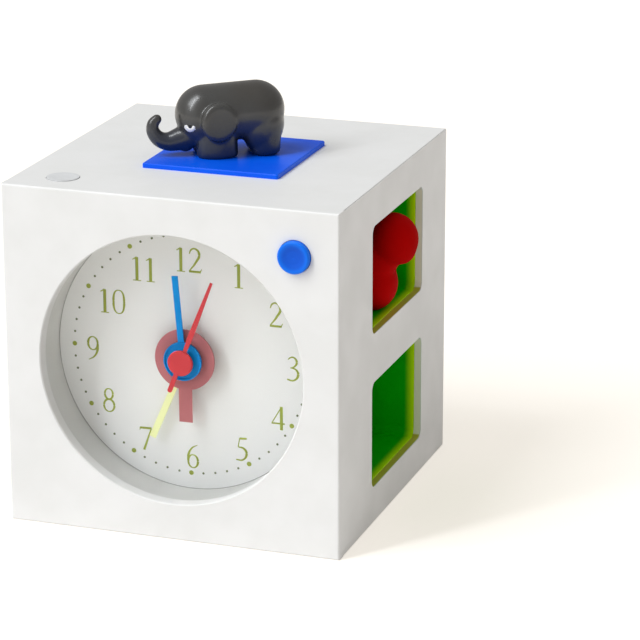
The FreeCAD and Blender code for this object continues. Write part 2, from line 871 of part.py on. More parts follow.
def make_knob(name):
    x, z = shaft_place(name)
    label = name + "_knob"
    body = turned_body(label, [
        ("shaft_radius", "0"),
        ("knob_radius", "0"),
        ("knob_radius", "knob_height"),
        ("0", "knob_height"),
        ("0", "knob_height / 2"),
        ("shaft_radius", "knob_height / 2"),
    ], x, "cover_back + knob_standoff", z, BACK)

    def outer_rim(edge):
        return is_round(edge, size("knob_radius")) and near(edge.BoundBox.ZMin, size("knob_height"))

    soften(body, label + "Rim", "knob_round", outer_rim, CHAMFER)
    groove = new_sketch(body, label + "Groove", "XY_Plane", "knob_height")
    add_circle(groove, "knob_radius + knob_groove / 4", "0", "knob_groove")
    pocket = sink(body, groove, "knob_height", onward=False)
    pattern = body.newObject("PartDesign::PolarPattern", label + "Grooves")
    pattern.Originals = [pocket]
    pattern.Axis = (origin_plane(body, "Z_Axis"), [""])
    pattern.Angle = 360
    pattern.Occurrences = int(size("knob_groove_count"))
    body.Tip = pattern


def make_drive():
    """Stepper drive below the wheels: a wound coil between the legs of its stator."""
    floor = "movement_floor + movement_wall"
    middle = "(backplate_back + movement_back) / 2"
    reach = "movement_width / 4"
    radius = "movement_thickness / 4"
    level = floor + " + layer_gap + " + radius
    across = Rotation(AXIS_Y, 90)
    core = rod("CoilCore", "wheel_thickness", "2 * " + reach, "-" + reach, middle, level, across)
    winding = rod("CoilWinding", radius, reach, "-%s / 2" % reach, middle, level, across)
    keep(join("CoilFuse", [core, winding]), "drive_coil")
    y = (middle + " - stator_width / 2", middle + " + stator_width / 2")
    z = (floor, "stator_top")
    left = box("LeftLeg", ("-%s - stator_width" % reach, "-" + reach), y, z)
    right = box("RightLeg", (reach, reach + " + stator_width"), y, z)
    group("drive_stator", [left, right])


# Hands
def hand_turn(angle):
    return FRONT.multiply(Rotation(AXIS_Z, -angle))


def new_hand(label, height, angle):
    body = new_body(label)
    place(body, "0", "dial_front - " + height, "dial_height", hand_turn(angle))
    return body


def pipe_radius(rank):
    return "arbor_radius + %d * (pipe_wall + running_gap)" % rank if rank else "arbor_radius"


def make_bar_hand(name, rank, angle, hub):
    """A flat hand: a round hub bored for its pipe and one straight bar."""
    body = new_hand(name + "_hand", name + "_hand_height", angle)
    disc = new_sketch(body, name + "Hub", "XY_Plane", "-hand_thickness")
    add_circle(disc, "0", "0", hub)
    grow(body, disc, "hand_thickness")
    bar = new_sketch(body, name + "Bar", "XY_Plane", "-hand_thickness")
    half = name + "_bar_width / 2"
    add_rectangle(bar, "-" + half, half, "0", name + "_reach")
    grow(body, bar, "hand_thickness")
    bore = new_sketch(body, name + "Bore", "XY_Plane", "-hand_thickness")
    add_circle(bore, "0", "0", pipe_radius(rank))
    sink(body, bore, "hand_thickness")
    return body


def make_hands():
    make_bar_hand("alarm", 3, size("alarm_angle"), "alarm_hub_radius")
    make_bar_hand("hour", 2, size("hour_angle"), "hour_disc_radius")
    minute = make_bar_hand("minute", 1, size("minute_angle"), "minute_hub_radius")
    rim = new_sketch(minute, "MinuteRim", "XY_Plane", "0")
    add_circle(rim, "0", "0", "minute_hub_radius")
    add_circle(rim, "0", "0", "minute_hub_radius - minute_rim")
    grow(minute, rim, "minute_rim")
    make_second_hand()


def mirrored_outline(points):
    """Close an outline given by its right half, listed from the top down."""
    return points + [("-" + across, along) for across, along in reversed(points)]


def make_second_hand():
    body = new_hand("second_hand", "second_hand_height", size("second_angle"))
    needle = new_sketch(body, "SecondNeedle", "XY_Plane", "-hand_thickness")
    add_outline(needle, mirrored_outline([
        ("second_tip_width / 2", "second_reach"),
        ("second_belly_width / 2", "second_belly_place"),
        ("second_neck_width / 2", "second_hub_radius"),
        ("second_neck_width / 2", "0"),
        ("second_tail_width / 2", "-second_hub_radius"),
        ("second_tail_width / 2", "-second_tail"),
    ]))
    grow(body, needle, "hand_thickness")

    def tail_corner(edge):
        return runs_along(edge, AXIS_Z) and near(edge.BoundBox.YMin, -size("second_tail"))

    soften(body, "SecondTailEnd", "second_tail_round", tail_corner)
    hub = new_sketch(body, "SecondHub", "XY_Plane", "-hand_thickness")
    add_circle(hub, "0", "0", "second_hub_radius")
    grow(body, hub, "second_cap")

    def cap_rim(edge):
        lifted = near(edge.BoundBox.ZMin, size("second_cap") - size("hand_thickness"))
        return is_round(edge, size("second_hub_radius")) and lifted

    soften(body, "SecondCapEdge", "second_cap / 3", cap_rim, CHAMFER)
    bore = new_sketch(body, "SecondBore", "XY_Plane", "-hand_thickness")
    add_circle(bore, "0", "0", pipe_radius(0))
    sink(body, bore, "hand_thickness")


# Back cover and what it carries
def corner_signs():
    return [("-", "floor"), ("", "floor"), ("-", "top"), ("", "top")]


def make_corner_blocks():
    blocks = []
    for index, (sign, end) in enumerate(corner_signs()):
        x = ("room_right - block_width", "room_right")
        if sign:
            x = ("-room_right", "-room_right + block_width")
        z = ("room_floor", "room_floor + block_width")
        if end == "top":
            z = ("room_top - block_width", "room_top")
        block = box("Block%d" % index, x, ("cover_front - block_length", "cover_front"), z)
        hole_x, hole_z = screw_place(sign, end)
        hole = rod("BlockHole%d" % index, "screw_radius", "screw_length", hole_x, "cover_back", hole_z, FRONT)
        blocks.append(cut("BoredBlock%d" % index, block, hole))
    group("corner_blocks", blocks)


def screw_place(sign, end):
    z = "room_floor + screw_inset" if end == "floor" else "room_top - screw_inset"
    return sign + "(room_right - screw_inset)", z


def make_cover_screws():
    screws = []
    for index, (sign, end) in enumerate(corner_signs()):
        x, z = screw_place(sign, end)
        shank = rod("Shank%d" % index, "screw_radius", "screw_length", x, "cover_back", z, FRONT)
        head = rod("Head%d" % index, "screw_head_radius", "screw_head_height", x, "cover_back", z, BACK)
        slot_x = (x + " - screw_head_radius", x + " + screw_head_radius")
        slot_y = ("cover_back + screw_head_height / 2", "cover_back + screw_head_height")
        slot_z = (z + " - screw_slot / 2", z + " + screw_slot / 2")
        slot = box("HeadSlot%d" % index, slot_x, slot_y, slot_z)
        screws.append(cut("Screw%d" % index, join("ScrewBlank%d" % index, [shank, head]), slot))
    group("cover_screws", screws)


def make_back_cover():
    body = new_body("back_cover")
    plate = new_sketch(body, "CoverPlate", "XZ_Plane", "cover_front")
    add_rectangle(plate, "-cover_right", "cover_right", "cover_floor", "cover_top")
    grow(body, plate, "cover_thickness")
    soften(body, "CoverCorners", "cover_corner", lambda edge: runs_along(edge, AXIS_Y))
    holes = new_sketch(body, "CoverHoles", "XZ_Plane", "cover_front")
    for sign, end in corner_signs():
        add_circle(holes, *screw_place(sign, end), "screw_radius + screw_clearance")
    for name in ("time_set", "alarm_set"):
        add_circle(holes, *shaft_place(name), "shaft_radius + screw_clearance")
    add_rectangle(holes, *switch_slot())
    add_rectangle(holes, "-door_right", "door_right", "door_floor", "door_top")
    sink(body, holes, "cover_thickness")
    rebate = new_sketch(body, "DoorRebate", "XZ_Plane", "cover_back")
    add_rectangle(rebate, *door_bounds("door_ledge"))
    sink(body, rebate, "cover_thickness - door_plug", onward=False)
    slots = new_sketch(body, "GrilleSlots", "XZ_Plane", "cover_front")
    count = int(size("grille_slot_count"))
    for index in range(count):
        offset = index - (count - 1) / 2
        middle = "(%s * grille_pitch)" % offset
        half = "sqrt(grille_radius ^ 2 - %s ^ 2)" % middle
        add_rectangle(slots, middle + " - grille_slot / 2", middle + " + grille_slot / 2",
                      "speaker_height - " + half, "speaker_height + " + half)
    sink(body, slots, "cover_thickness")
    posts = new_sketch(body, "BoardPosts", "XZ_Plane", "cover_front - board_standoff")
    for z in board_post_heights():
        add_circle(posts, "board_place", z, "board_post_radius")
    grow(body, posts, "board_standoff")


def door_bounds(grown):
    return ["-door_right - " + grown, "door_right + " + grown, "door_floor - " + grown, "door_top + " + grown]


def switch_slot():
    """Bounds in X and Z of the slot that the slider runs in."""
    half = "((switch_nub_length + switch_travel) / 2 + switch_gap)"
    return ["switch_place - switch_slot_width / 2", "switch_place + switch_slot_width / 2",
            "dial_height - " + half, "dial_height + " + half]


def board_post_heights():
    half = "(board_height / 2 - board_post_inset)"
    return ["board_level - " + half, "board_level + " + half]


def make_speaker():
    front = "cover_front - speaker_depth"
    turned_body("speaker_frame", [
        ("speaker_magnet_radius", "speaker_magnet_depth"),
        ("speaker_radius - speaker_rim", "speaker_depth - speaker_rim_thickness"),
        ("speaker_radius", "speaker_depth - speaker_rim_thickness"),
        ("speaker_radius", "speaker_depth"),
        ("speaker_radius - speaker_rim", "speaker_depth"),
        ("speaker_magnet_radius - speaker_rim_thickness / 2", "speaker_magnet_depth + speaker_rim_thickness"),
        ("0", "speaker_magnet_depth + speaker_rim_thickness"),
        ("0", "0"),
        ("speaker_magnet_radius", "0"),
    ], "0", front, "speaker_height", BACK)
    lift = "speaker_magnet_depth + speaker_rim_thickness"
    inner = "speaker_magnet_radius - speaker_rim_thickness / 2"
    turned_body("speaker_cone", [
        ("0", lift),
        (inner, lift),
        ("speaker_radius - speaker_rim", "speaker_depth"),
        ("speaker_radius - speaker_rim - speaker_rim_thickness", "speaker_depth"),
        (inner, lift + " + speaker_rim_thickness / 2"),
        ("0", lift + " + speaker_rim_thickness"),
    ], "0", front, "speaker_height", BACK)


def make_battery_tray():
    body = new_body("battery_tray")
    half = "tray_inside_length / 2"
    outside = new_sketch(body, "TrayOutside", "XZ_Plane", "tray_front")
    add_rectangle(outside, "-%s - tray_wall" % half, half + " + tray_wall",
                  "tray_floor - tray_wall", "tray_top + tray_wall")
    grow(body, outside, "cover_front - tray_front")
    hollow = new_sketch(body, "TrayHollow", "XZ_Plane", "tray_front + tray_wall")
    add_rectangle(hollow, "-" + half, half, "tray_floor", "tray_top")
    sink(body, hollow, "cover_front - tray_front - tray_wall")
    ridge = new_sketch(body, "TrayRidge", "XZ_Plane", "tray_front + tray_wall")
    middle = "(tray_floor + tray_top) / 2"
    add_rectangle(ridge, "-cell_length / 3", "cell_length / 3",
                  middle + " - cell_gap / 2", middle + " + cell_gap / 2")
    grow(body, ridge, "cell_radius")


def cell_height(index):
    return "tray_floor + cell_gap + cell_radius" if index == 1 else "tray_top - cell_gap - cell_radius"


def make_cells():
    """Two cells lying opposite ways, each with its tip against a plate."""
    y = "tray_front + tray_wall + cell_radius"
    plate = "(tray_inside_length / 2 - contact_thickness)"
    for index, sign in ((1, ""), (2, "-")):
        turn = Rotation(AXIS_Y, 90 if sign == "" else -90)
        tip_start = sign + "(%s - cell_tip_height)" % plate
        can_start = sign + "(%s - cell_tip_height - cell_length)" % plate
        z = cell_height(index)
        can = rod("CellCan%d" % index, "cell_radius", "cell_length", can_start, y, z, turn)
        tip = rod("CellTip%d" % index, "cell_tip_radius", "cell_tip_height", tip_start, y, z, turn)
        keep(join("Cell%d" % index, [can, tip]), "battery_%d" % index)


def make_contacts():
    """Flat plates for the tips and bowed leaf springs for the cans' ends."""
    y = "tray_front + tray_wall + cell_radius"
    half = "tray_inside_length / 2"
    pieces = []
    for index, sign in ((1, ""), (2, "-")):
        z = cell_height(index)
        side = ("%s - contact_thickness" % half, half)
        if sign:
            side = ("-" + half, "-%s + contact_thickness" % half)
        depth = (y + " - cell_radius / 2", y + " + cell_radius / 2")
        level = (z + " - cell_radius / 2", z + " + cell_radius / 2")
        pieces.append(box("TipPlate%d" % index, side, depth, level))
        far = "-" if sign == "" else ""
        cone = doc.addObject("Part::Cone", "LeafSpring%d" % index)
        bind(cone, Radius1="cell_radius / 2", Radius2="cell_tip_radius / 2")
        bind(cone, Height="contact_thickness + contact_bulge")
        place(cone, far + half, y, z, Rotation(AXIS_Y, 90 if sign == "" else -90))
        pieces.append(cone)
    group("battery_contacts", pieces)


def make_battery_door():
    body = new_body("battery_door")
    plate = new_sketch(body, "DoorPlate", "XZ_Plane", "cover_front + door_plug")
    add_rectangle(plate, *door_bounds("(door_ledge - door_gap)"))
    grow(body, plate, "cover_thickness - door_plug")
    plug = new_sketch(body, "DoorPlug", "XZ_Plane", "cover_front")
    add_rectangle(plug, *door_bounds("(-door_gap)"))
    grow(body, plug, "door_plug")
    grip = new_sketch(body, "DoorGrip", "XZ_Plane", "cover_back")
    count = int(size("door_grip_count"))
    for index in range(count):
        low = "door_top - door_margin - %d * door_grip_step" % (index + 1)
        add_rectangle(grip, "-door_right / 3", "door_right / 3", low, low + " + door_grip")
    sink(body, grip, "door_grip / 2", onward=False)


def make_alarm_switch():
    half = "switch_width / 2"
    left, right, low, high = switch_slot()
    case = box("SwitchCase", ("switch_place - " + half, "switch_place + " + half),
               ("cover_front - switch_depth", "cover_front"),
               ("dial_height - switch_length / 2", "dial_height + switch_length / 2"))
    floor = "cover_front - switch_depth + 2 * switch_gap"
    room = box("SwitchRoom", (left, right), (floor, "cover_front"), (low, high))
    keep(cut("SwitchCut", case, room), "alarm_switch")
    half = "switch_nub_width / 2"
    start = "dial_height - (switch_nub_length + switch_travel) / 2"
    slider = box("SwitchNub", ("switch_place - " + half, "switch_place + " + half),
                 (floor + " + switch_gap", "cover_back + switch_nub_proud"),
                 (start, start + " + switch_nub_length"))
    keep(slider, "alarm_switch_slider")


def make_speech_board():
    rear = "cover_front - board_standoff"
    front = rear + " - board_thickness"
    x = ("board_place - board_width / 2", "board_place + board_width / 2")
    z = ("board_level - board_height / 2", "board_level + board_height / 2")
    keep(box("Board", x, (front, rear), z), "speech_board")
    depth = (front + " - chip_thickness", front)
    half = "chip_width / 2"
    chip = box("Chip", ("board_place - " + half, "board_place + " + half), depth,
               ("board_level", "board_level + chip_width"))
    crystal = box("Crystal", (x[0] + " + can_radius / 2", x[0] + " + can_radius / 2 + " + half), depth,
                  (z[0] + " + can_radius", z[0] + " + 2 * can_radius"))
    can = rod("Capacitor", "can_radius", "can_height", x[1] + " - 1.5 * can_radius", front,
              z[0] + " + 1.5 * can_radius", FRONT)
    group("board_components", [chip, can, crystal])


# Button and key
CAP_HOLLOW_SHARE = 0.8


def make_press_piece(label, radius, proud, dish, x, y, z, turn):
    """A dished cap held behind its panel by a flange, with a stem towards the switch."""
    flange_top = "-panel_thickness - press_gap / 2"
    flange_low = flange_top + " - button_flange_thickness"
    stem_end = "-panel_thickness - guide_depth + tact_height + tact_plunger + button_travel + press_gap"
    return turned_body(label, [
        ("0", proud + " - " + dish),
        ("(%s - button_rim) / 2" % radius, "%s - %s * %s" % (proud, dish, CAP_HOLLOW_SHARE)),
        (radius + " - button_rim", proud),
        (radius, proud),
        (radius, flange_top),
        (radius + " + button_flange", flange_top),
        (radius + " + button_flange", flange_low),
        ("button_stem_radius", flange_low),
        ("button_stem_radius", stem_end),
        ("0", stem_end),
    ], x, y, z, turn)


def make_press_unit(name, radius, x, y, z, turn):
    """The guide glued behind the panel and the switch that closes its far end."""
    inner = radius + " + button_flange + guide_gap"
    outer = inner + " + guide_wall"
    turned_body(name + "_guide", [
        (inner, "-panel_thickness - guide_depth"),
        (outer, "-panel_thickness - guide_depth"),
        (outer, "-panel_thickness"),
        (inner, "-panel_thickness"),
    ], x, y, z, turn)
    seat = "-panel_thickness - guide_depth"
    turned_body(name + "_switch", [
        ("0", seat + " - board_thickness"),
        (outer, seat + " - board_thickness"),
        (outer, seat),
        ("tact_width / 2", seat),
        ("tact_width / 2", seat + " + tact_height"),
        ("tact_plunger_radius", seat + " + tact_height"),
        ("tact_plunger_radius", seat + " + tact_height + tact_plunger"),
        ("0", seat + " + tact_height + tact_plunger"),
    ], x, y, z, turn)


def make_button_and_key():
    x, z = "button_x", "button_height"
    body = make_press_piece("front_button", "button_radius", "button_proud", "button_dish",
                            x, "case_front", z, FRONT)

    def cap_edge(edge):
        return is_round(edge, size("button_radius")) and near(edge.BoundBox.ZMax, size("button_proud"))

    soften(body, "ButtonEdge", "button_edge", cap_edge, CHAMFER)
    make_press_unit("front_button", "button_radius", x, "case_front", z, FRONT)
    x, y = "-key_x", "-key_y"
    make_press_piece("top_key", "key_radius", "key_proud", "key_dish", x, y, "case_top", UP)
    make_press_unit("top_key", "key_radius", x, y, "case_top", UP)


# Stage and figures
def make_stage():
    body = new_body("figure_stage")
    plate = new_sketch(body, "StagePlate", "XY_Plane", "case_top")
    half = "stage_width / 2"
    add_rectangle(plate, "stage_x - " + half, "stage_x + " + half, "-stage_y - " + half, "-stage_y + " + half)
    grow(body, plate, "stage_thickness")
    soften(body, "StageCorners", "stage_corner", lambda edge: runs_along(edge, AXIS_Z))

    def top_rim(edge):
        return near(edge.BoundBox.ZMin, size("stage_top"))

    soften(body, "StageBevel", "stage_bevel", top_rim, CHAMFER)
    pegs = new_sketch(body, "StagePegs", "XY_Plane", "case_top")
    for side in ("-peg_reach", "peg_reach"):
        add_circle(pegs, "stage_x + " + side, "-stage_y", "peg_radius")
    grow(body, pegs, "peg_length", onward=False)


ROUND_STEPS = 7

# Control points of the trunk's middle line, as shares of the elephant's front reach and its top
TRUNK_POLE_SHARES = ((-0.67, 0.325), (-1.15, 0.115), (-1.51, 0.248), (-1.29, 0.53))
TRUNK_STATION_SHARES = (0, 0.25, 0.5, 0.75, 1)
TRUNK_TAPER_SHARE = 0.8


def circle_wire(centre, direction, radius):
    return Part.Wire([Part.Edge(Part.Circle(centre, direction, radius))])


def turned_solid(outline, centre, axis, outward):
    """A solid of revolution; each point is a distance along the axis and one away from it."""
    points = [centre + axis * along + outward * away for along, away in outline]
    face = Part.Face(Part.makePolygon(points + points[:1]))
    return face.revolve(centre, axis, 360)


def quarter_steps(count):
    """Sine and cosine of evenly spaced angles over a quarter turn."""
    turns = [Rotation(AXIS_Z, 90 * index / count).multVec(AXIS_X) for index in range(count + 1)]
    return [(turn.y, turn.x) for turn in turns]


def elephant_barrel():
    """Head, barrel and rump as one turned loaf, fuller in front than behind."""
    front, rear = -size("elephant_front"), size("elephant_rear")
    radius = (size("elephant_top") - size("elephant_belly")) / 2
    face, rump = size("forehead_round"), size("rump_round")
    steps = quarter_steps(ROUND_STEPS)
    outline = [(front, 0)]
    outline += [(front + face * (1 - cosine), radius - face * (1 - sine)) for sine, cosine in steps]
    outline += [(rear - rump * (1 - cosine), radius - rump * (1 - sine)) for sine, cosine in reversed(steps)]
    outline += [(rear, 0)]
    centre = Vector(0, 0, size("elephant_belly") + radius)
    return turned_solid(outline, centre, AXIS_X, AXIS_Z)


def ball(radius, centre):
    """A ball turned from short straight steps."""
    steps = quarter_steps(ROUND_STEPS)
    half = [(radius * sine, radius * cosine) for sine, cosine in steps]
    outline = [(-along, away) for along, away in reversed(half)] + half[1:]
    return turned_solid(outline, centre, AXIS_Z, AXIS_X)


FOOT_CHAMFER_SHARE = 0.7


def elephant_leg(name, side):
    """A column with rounded corners and a bevelled sole, its upper end inside the barrel."""
    place, length = size(name + "_leg_place"), size(name + "_leg_length")
    width = size("leg_width")
    outer = size("leg_reach")
    corner = Vector(place - length / 2, side * (outer - width / 2) - width / 2, 0)
    leg = Part.makeBox(length, width, size("leg_top"), corner)
    leg = leg.makeFillet(size(name + "_leg_round"), [edge for edge in leg.Edges if runs_along(edge, AXIS_Z)])
    sole = [edge for edge in leg.Edges if near(edge.BoundBox.ZMax, 0)]
    return leg.makeChamfer(size(name + "_foot_round") * FOOT_CHAMFER_SHARE, sole)


def elephant_nose():
    """Tapering trunk swept down from the face and curled up to a round tip."""
    front = size("elephant_front")
    top = size("elephant_top")
    line = Part.BezierCurve()
    line.setPoles([Vector(front * along, 0, top * up) for along, up in TRUNK_POLE_SHARES])
    root = size("trunk_root_radius")
    tip = size("trunk_tip_radius")
    rings = []
    for share in TRUNK_STATION_SHARES:
        radius = root + (tip - root) * share ** TRUNK_TAPER_SHARE
        rings.append(circle_wire(line.value(share), line.tangent(share)[0], radius))
    return Part.makeLoft(rings, True, False).fuse(Part.makeSphere(tip, line.value(1)))


def elephant_ear(side):
    """A thick round ear laid on the flank, its front edge lifted."""
    thickness = size("ear_thickness")
    disc = Part.makeCylinder(size("ear_radius"), thickness, Vector(0, 0, -thickness / 2))
    rims = [edge for edge in disc.Edges if edge.Curve.TypeId == "Part::GeomCircle"]
    disc = disc.makeChamfer(size("ear_round"), rims)
    disc.rotate(Vector(), AXIS_X, 90)
    disc.rotate(Vector(), AXIS_Z, -side * size("ear_angle"))
    disc.translate(Vector(-size("ear_place"), side * size("ear_reach"), size("ear_level")))
    return disc


def make_elephant():
    pieces = [elephant_nose()]
    for side in (-1, 1):
        pieces.append(elephant_leg("front", side))
        pieces.append(elephant_leg("rear", side))
        pieces.append(elephant_ear(side))
    pieces.append(Part.makeSphere(size("jaw_radius"), Vector(-size("jaw_place"), 0, size("jaw_level"))))
    shape = elephant_barrel().fuse(pieces).removeSplitter()
    turn = Rotation(AXIS_Z, size("elephant_angle"))
    solid_feature("elephant", shape, "stage_x", "-stage_y", "stage_top", turn)


# Rings up the stored figure: share of its height, share of its bow, and how far the radius has
# gone from the foot to the body, or from the body to the neck
LOWER_RING_SHARES = ((0, 0, 0), (0.03, 0, 0.5), (0.13, 0, 0.9), (0.3, 0, 1))
UPPER_RING_SHARES = ((0.43, 0.12, 0.5), (0.6, 0.45, 1))


def figure_body():
    """A round body that bows outwards as it narrows to the neck."""
    height, bow = size("figure_height"), size("figure_bow")
    foot, waist, neck = (size("figure_%s_radius" % name) for name in ("foot", "body", "neck"))
    wires = []
    for shares, low, high in ((LOWER_RING_SHARES, foot, waist), (UPPER_RING_SHARES, waist, neck)):
        for level, lean, change in shares:
            centre = Vector(bow * lean, 0, height * level)
            wires.append(circle_wire(centre, AXIS_Z, low + (high - low) * change))
    return Part.makeLoft(wires, True, True)


def make_stored_figure():
    """Upright round body that bows outwards into a ball head with a blunt snout."""
    bow = size("figure_bow")
    head_radius = size("figure_head_radius")
    centre = Vector(bow, 0, size("figure_height") - head_radius)
    head = ball(head_radius, centre)
    heading = Rotation(AXIS_Y, size("snout_angle")).multVec(AXIS_X)
    reach = size("figure_snout_reach")
    tip_radius = size("figure_snout_radius")
    snout = Part.makeCone(head_radius / 2, tip_radius, reach, centre, heading)
    tip = Part.makeSphere(tip_radius, centre + heading * reach)
    shape = figure_body().fuse([head, snout, tip]).removeSplitter()
    x = "cubby_bottom + figure_back_gap + figure_body_radius"
    y = "(cubby_near + cubby_far) / 2 + figure_shift"
    solid_feature("stored_figure", shape, x, y, "upper_cubby_sill", UP)


def make_parts():
    make_front_panel()
    make_top_panel()
    make_base_panel()
    for side in ("left", "right"):
        make_side_panel(side)
        for row in ("upper", "lower"):
            make_cubby(side, row)
    make_dial_tube()
    flat_disc("lens", "disc_radius", "", "lens_thickness", "room_front + lens_thickness")
    flat_disc("dial", "disc_radius", "bushing_radius", "dial_thickness", "dial_back")
    flat_disc("dial_backplate", "tube_outer", "bushing_radius", "backplate_thickness", "backplate_back")
    make_hand_nut()
    make_front_shell()
    make_rear_shell()
    make_wheel_work()
    make_setting_wheels()
    for name in ("time_set", "alarm_set"):
        make_setting_shaft(name)
        make_knob(name)
    make_drive()
    make_hands()
    make_corner_blocks()
    make_cover_screws()
    make_back_cover()
    make_speaker()
    make_battery_tray()
    make_cells()
    make_contacts()
    make_battery_door()
    make_alarm_switch()
    make_speech_board()
    make_button_and_key()
    make_stage()
    make_elephant()
    make_stored_figure()


def check_document():
    doc.recompute()
    for item in doc.Objects:
        if "Invalid" in item.State or "Error" in item.State:
            raise ValueError("%s is %s" % (item.Label, item.State))
    for label, item in parts.items():
        if item.Shape.isNull() or not item.Shape.isValid() or not item.Shape.Solids:
            raise ValueError("%s has no valid solid" % label)


def write_parts():
    os.makedirs("parts", exist_ok=True)
    for label, item in parts.items():
        item.Shape.exportStep("parts/%s.step" % label)
        print("%-24s %2d solids %10.1f mm3" % (label, len(item.Shape.Solids), item.Shape.Volume))


fill_sheet()
make_parts()
check_document()
write_parts()
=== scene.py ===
# Dresses a cube-shaped talking clock: printed dial, coloured hands, toy animals and green cubbies.
import bpy
import bmesh
import json
import math
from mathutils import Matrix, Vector


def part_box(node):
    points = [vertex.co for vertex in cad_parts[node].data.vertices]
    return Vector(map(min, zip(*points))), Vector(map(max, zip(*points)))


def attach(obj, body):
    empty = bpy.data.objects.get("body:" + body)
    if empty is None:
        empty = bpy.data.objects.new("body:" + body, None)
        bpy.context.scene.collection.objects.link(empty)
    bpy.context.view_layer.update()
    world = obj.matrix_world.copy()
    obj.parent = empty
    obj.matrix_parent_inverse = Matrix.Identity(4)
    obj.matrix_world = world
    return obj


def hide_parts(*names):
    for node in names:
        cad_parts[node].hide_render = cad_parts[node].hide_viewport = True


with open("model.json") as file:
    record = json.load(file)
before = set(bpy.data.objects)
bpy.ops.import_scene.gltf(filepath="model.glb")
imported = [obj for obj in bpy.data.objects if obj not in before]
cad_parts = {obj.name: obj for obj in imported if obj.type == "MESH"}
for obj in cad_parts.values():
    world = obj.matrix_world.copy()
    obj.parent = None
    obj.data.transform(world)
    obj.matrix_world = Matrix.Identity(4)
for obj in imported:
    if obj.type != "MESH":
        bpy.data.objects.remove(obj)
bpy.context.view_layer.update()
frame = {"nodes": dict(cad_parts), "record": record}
nodes = frame["nodes"]
record = frame["record"]
mm = 0.001
# How far apart two points, a point and a plane, or two levels may be and still count as one, in metres
near = {"point": 1e-6, "plane": 1e-6, "level": 1e-7}
# Turns the axis of a new cylinder or ring to the front, along y
facingFront = (math.pi / 2, 0.0, 0.0)
print("frame loaded,", len(nodes), "nodes")


# Small helpers for working on one piece at a time
def deselectAll():
    if bpy.context.mode != "OBJECT":
        bpy.ops.object.mode_set(mode="OBJECT")
    bpy.ops.object.select_all(action="DESELECT")


def makeActive(piece):
    deselectAll()
    piece.select_set(True)
    bpy.context.view_layer.objects.active = piece


def added(name):
    piece = bpy.context.active_object
    piece.name = name
    piece.data.name = name
    return piece


def settle(piece):
    makeActive(piece)
    bpy.ops.object.transform_apply(location=True, rotation=True, scale=True)


def applyAll(piece):
    makeActive(piece)
    for modifier in list(piece.modifiers):
        bpy.ops.object.modifier_apply(modifier=modifier.name)


def pick(piece, kind, test):
    makeActive(piece)
    bpy.ops.object.mode_set(mode="EDIT")
    bpy.ops.mesh.select_mode(type=kind)
    bpy.ops.mesh.select_all(action="DESELECT")
    shell = bmesh.from_edit_mesh(piece.data)
    parts = {"VERT": shell.verts, "EDGE": shell.edges, "FACE": shell.faces}[kind]
    for part in parts:
        part.select = test(part)
    shell.select_flush_mode()
    bmesh.update_edit_mesh(piece.data)


def outward(piece):
    makeActive(piece)
    bpy.ops.object.mode_set(mode="EDIT")
    bpy.ops.mesh.select_all(action="SELECT")
    bpy.ops.mesh.remove_doubles(threshold=near["point"])
    bpy.ops.mesh.normals_make_consistent(inside=False)
    bpy.ops.object.mode_set(mode="OBJECT")


def joined(pieces, name):
    deselectAll()
    for piece in pieces:
        piece.select_set(True)
    bpy.context.view_layer.objects.active = pieces[0]
    bpy.ops.object.join()
    return added(name)


def dress(piece, finish, body):
    piece.data.materials.clear()
    piece.data.materials.append(finish)
    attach(piece, body)


# Small helpers for shader nodes: they take values or sockets, and give back the socket that comes out
def feed(tree, socket, value):
    if isinstance(value, bpy.types.NodeSocket):
        tree.links.new(value, socket)
    else:
        socket.default_value = value


def objectPlace(tree):
    return tree.nodes.new("ShaderNodeTexCoord").outputs["Object"]


def axes(tree, vector):
    parts = tree.nodes.new("ShaderNodeSeparateXYZ")
    feed(tree, parts.inputs["Vector"], vector)
    return [parts.outputs[axis] for axis in "XYZ"]


def calculated(tree, kind, *values):
    node = tree.nodes.new("ShaderNodeMath")
    node.operation = kind
    for socket, value in zip(node.inputs, values):
        feed(tree, socket, value)
    return node.outputs["Value"]


def ramped(tree, value, ends, style="SMOOTHSTEP", reach=(0.0, 1.0)):
    ramp = tree.nodes.new("ShaderNodeMapRange")
    ramp.interpolation_type = style
    feed(tree, ramp.inputs["Value"], value)
    for label, end in zip(("From Min", "From Max", "To Min", "To Max"), (*ends, *reach)):
        feed(tree, ramp.inputs[label], end)
    return ramp.outputs["Result"]


def noise(tree, place, scale, detail, roughness=0.5):
    cloud = tree.nodes.new("ShaderNodeTexNoise")
    for label, value in (("Vector", place), ("Scale", scale), ("Detail", detail), ("Roughness", roughness)):
        feed(tree, cloud.inputs[label], value)
    return cloud.outputs["Fac"]


def blended(tree, share, first, second):
    mix = tree.nodes.new("ShaderNodeMix")
    mix.data_type = "RGBA"
    for label, value in (("Factor", share), ("A", first), ("B", second)):
        feed(tree, mix.inputs[label], value)
    return mix.outputs["Result"]


def eitherShader(tree, share, first, second):
    mix = tree.nodes.new("ShaderNodeMixShader")
    for socket, value in zip(mix.inputs, (share, first, second)):
        feed(tree, socket, value)
    return mix.outputs["Shader"]


def plainShader(tree, kind, output, colour, strength=None):
    node = tree.nodes.new(kind)
    node.inputs["Color"].default_value = colour
    if strength is not None:
        node.inputs["Strength"].default_value = strength
    return node.outputs[output]


# Shared shader groups: fine grain, handling marks and the painted edge light at the mouths of the green
# inserts
def newGroup(name, inputs, outputs):
    group = bpy.data.node_groups.new(name, "ShaderNodeTree")
    for label, value in inputs.items():
        socket = group.interface.new_socket(label, in_out="INPUT", socket_type="NodeSocketFloat")
        socket.default_value = value
    for label in outputs:
        group.interface.new_socket(label, in_out="OUTPUT", socket_type="NodeSocketFloat")
    return group, group.nodes.new("NodeGroupInput").outputs, group.nodes.new("NodeGroupOutput").inputs


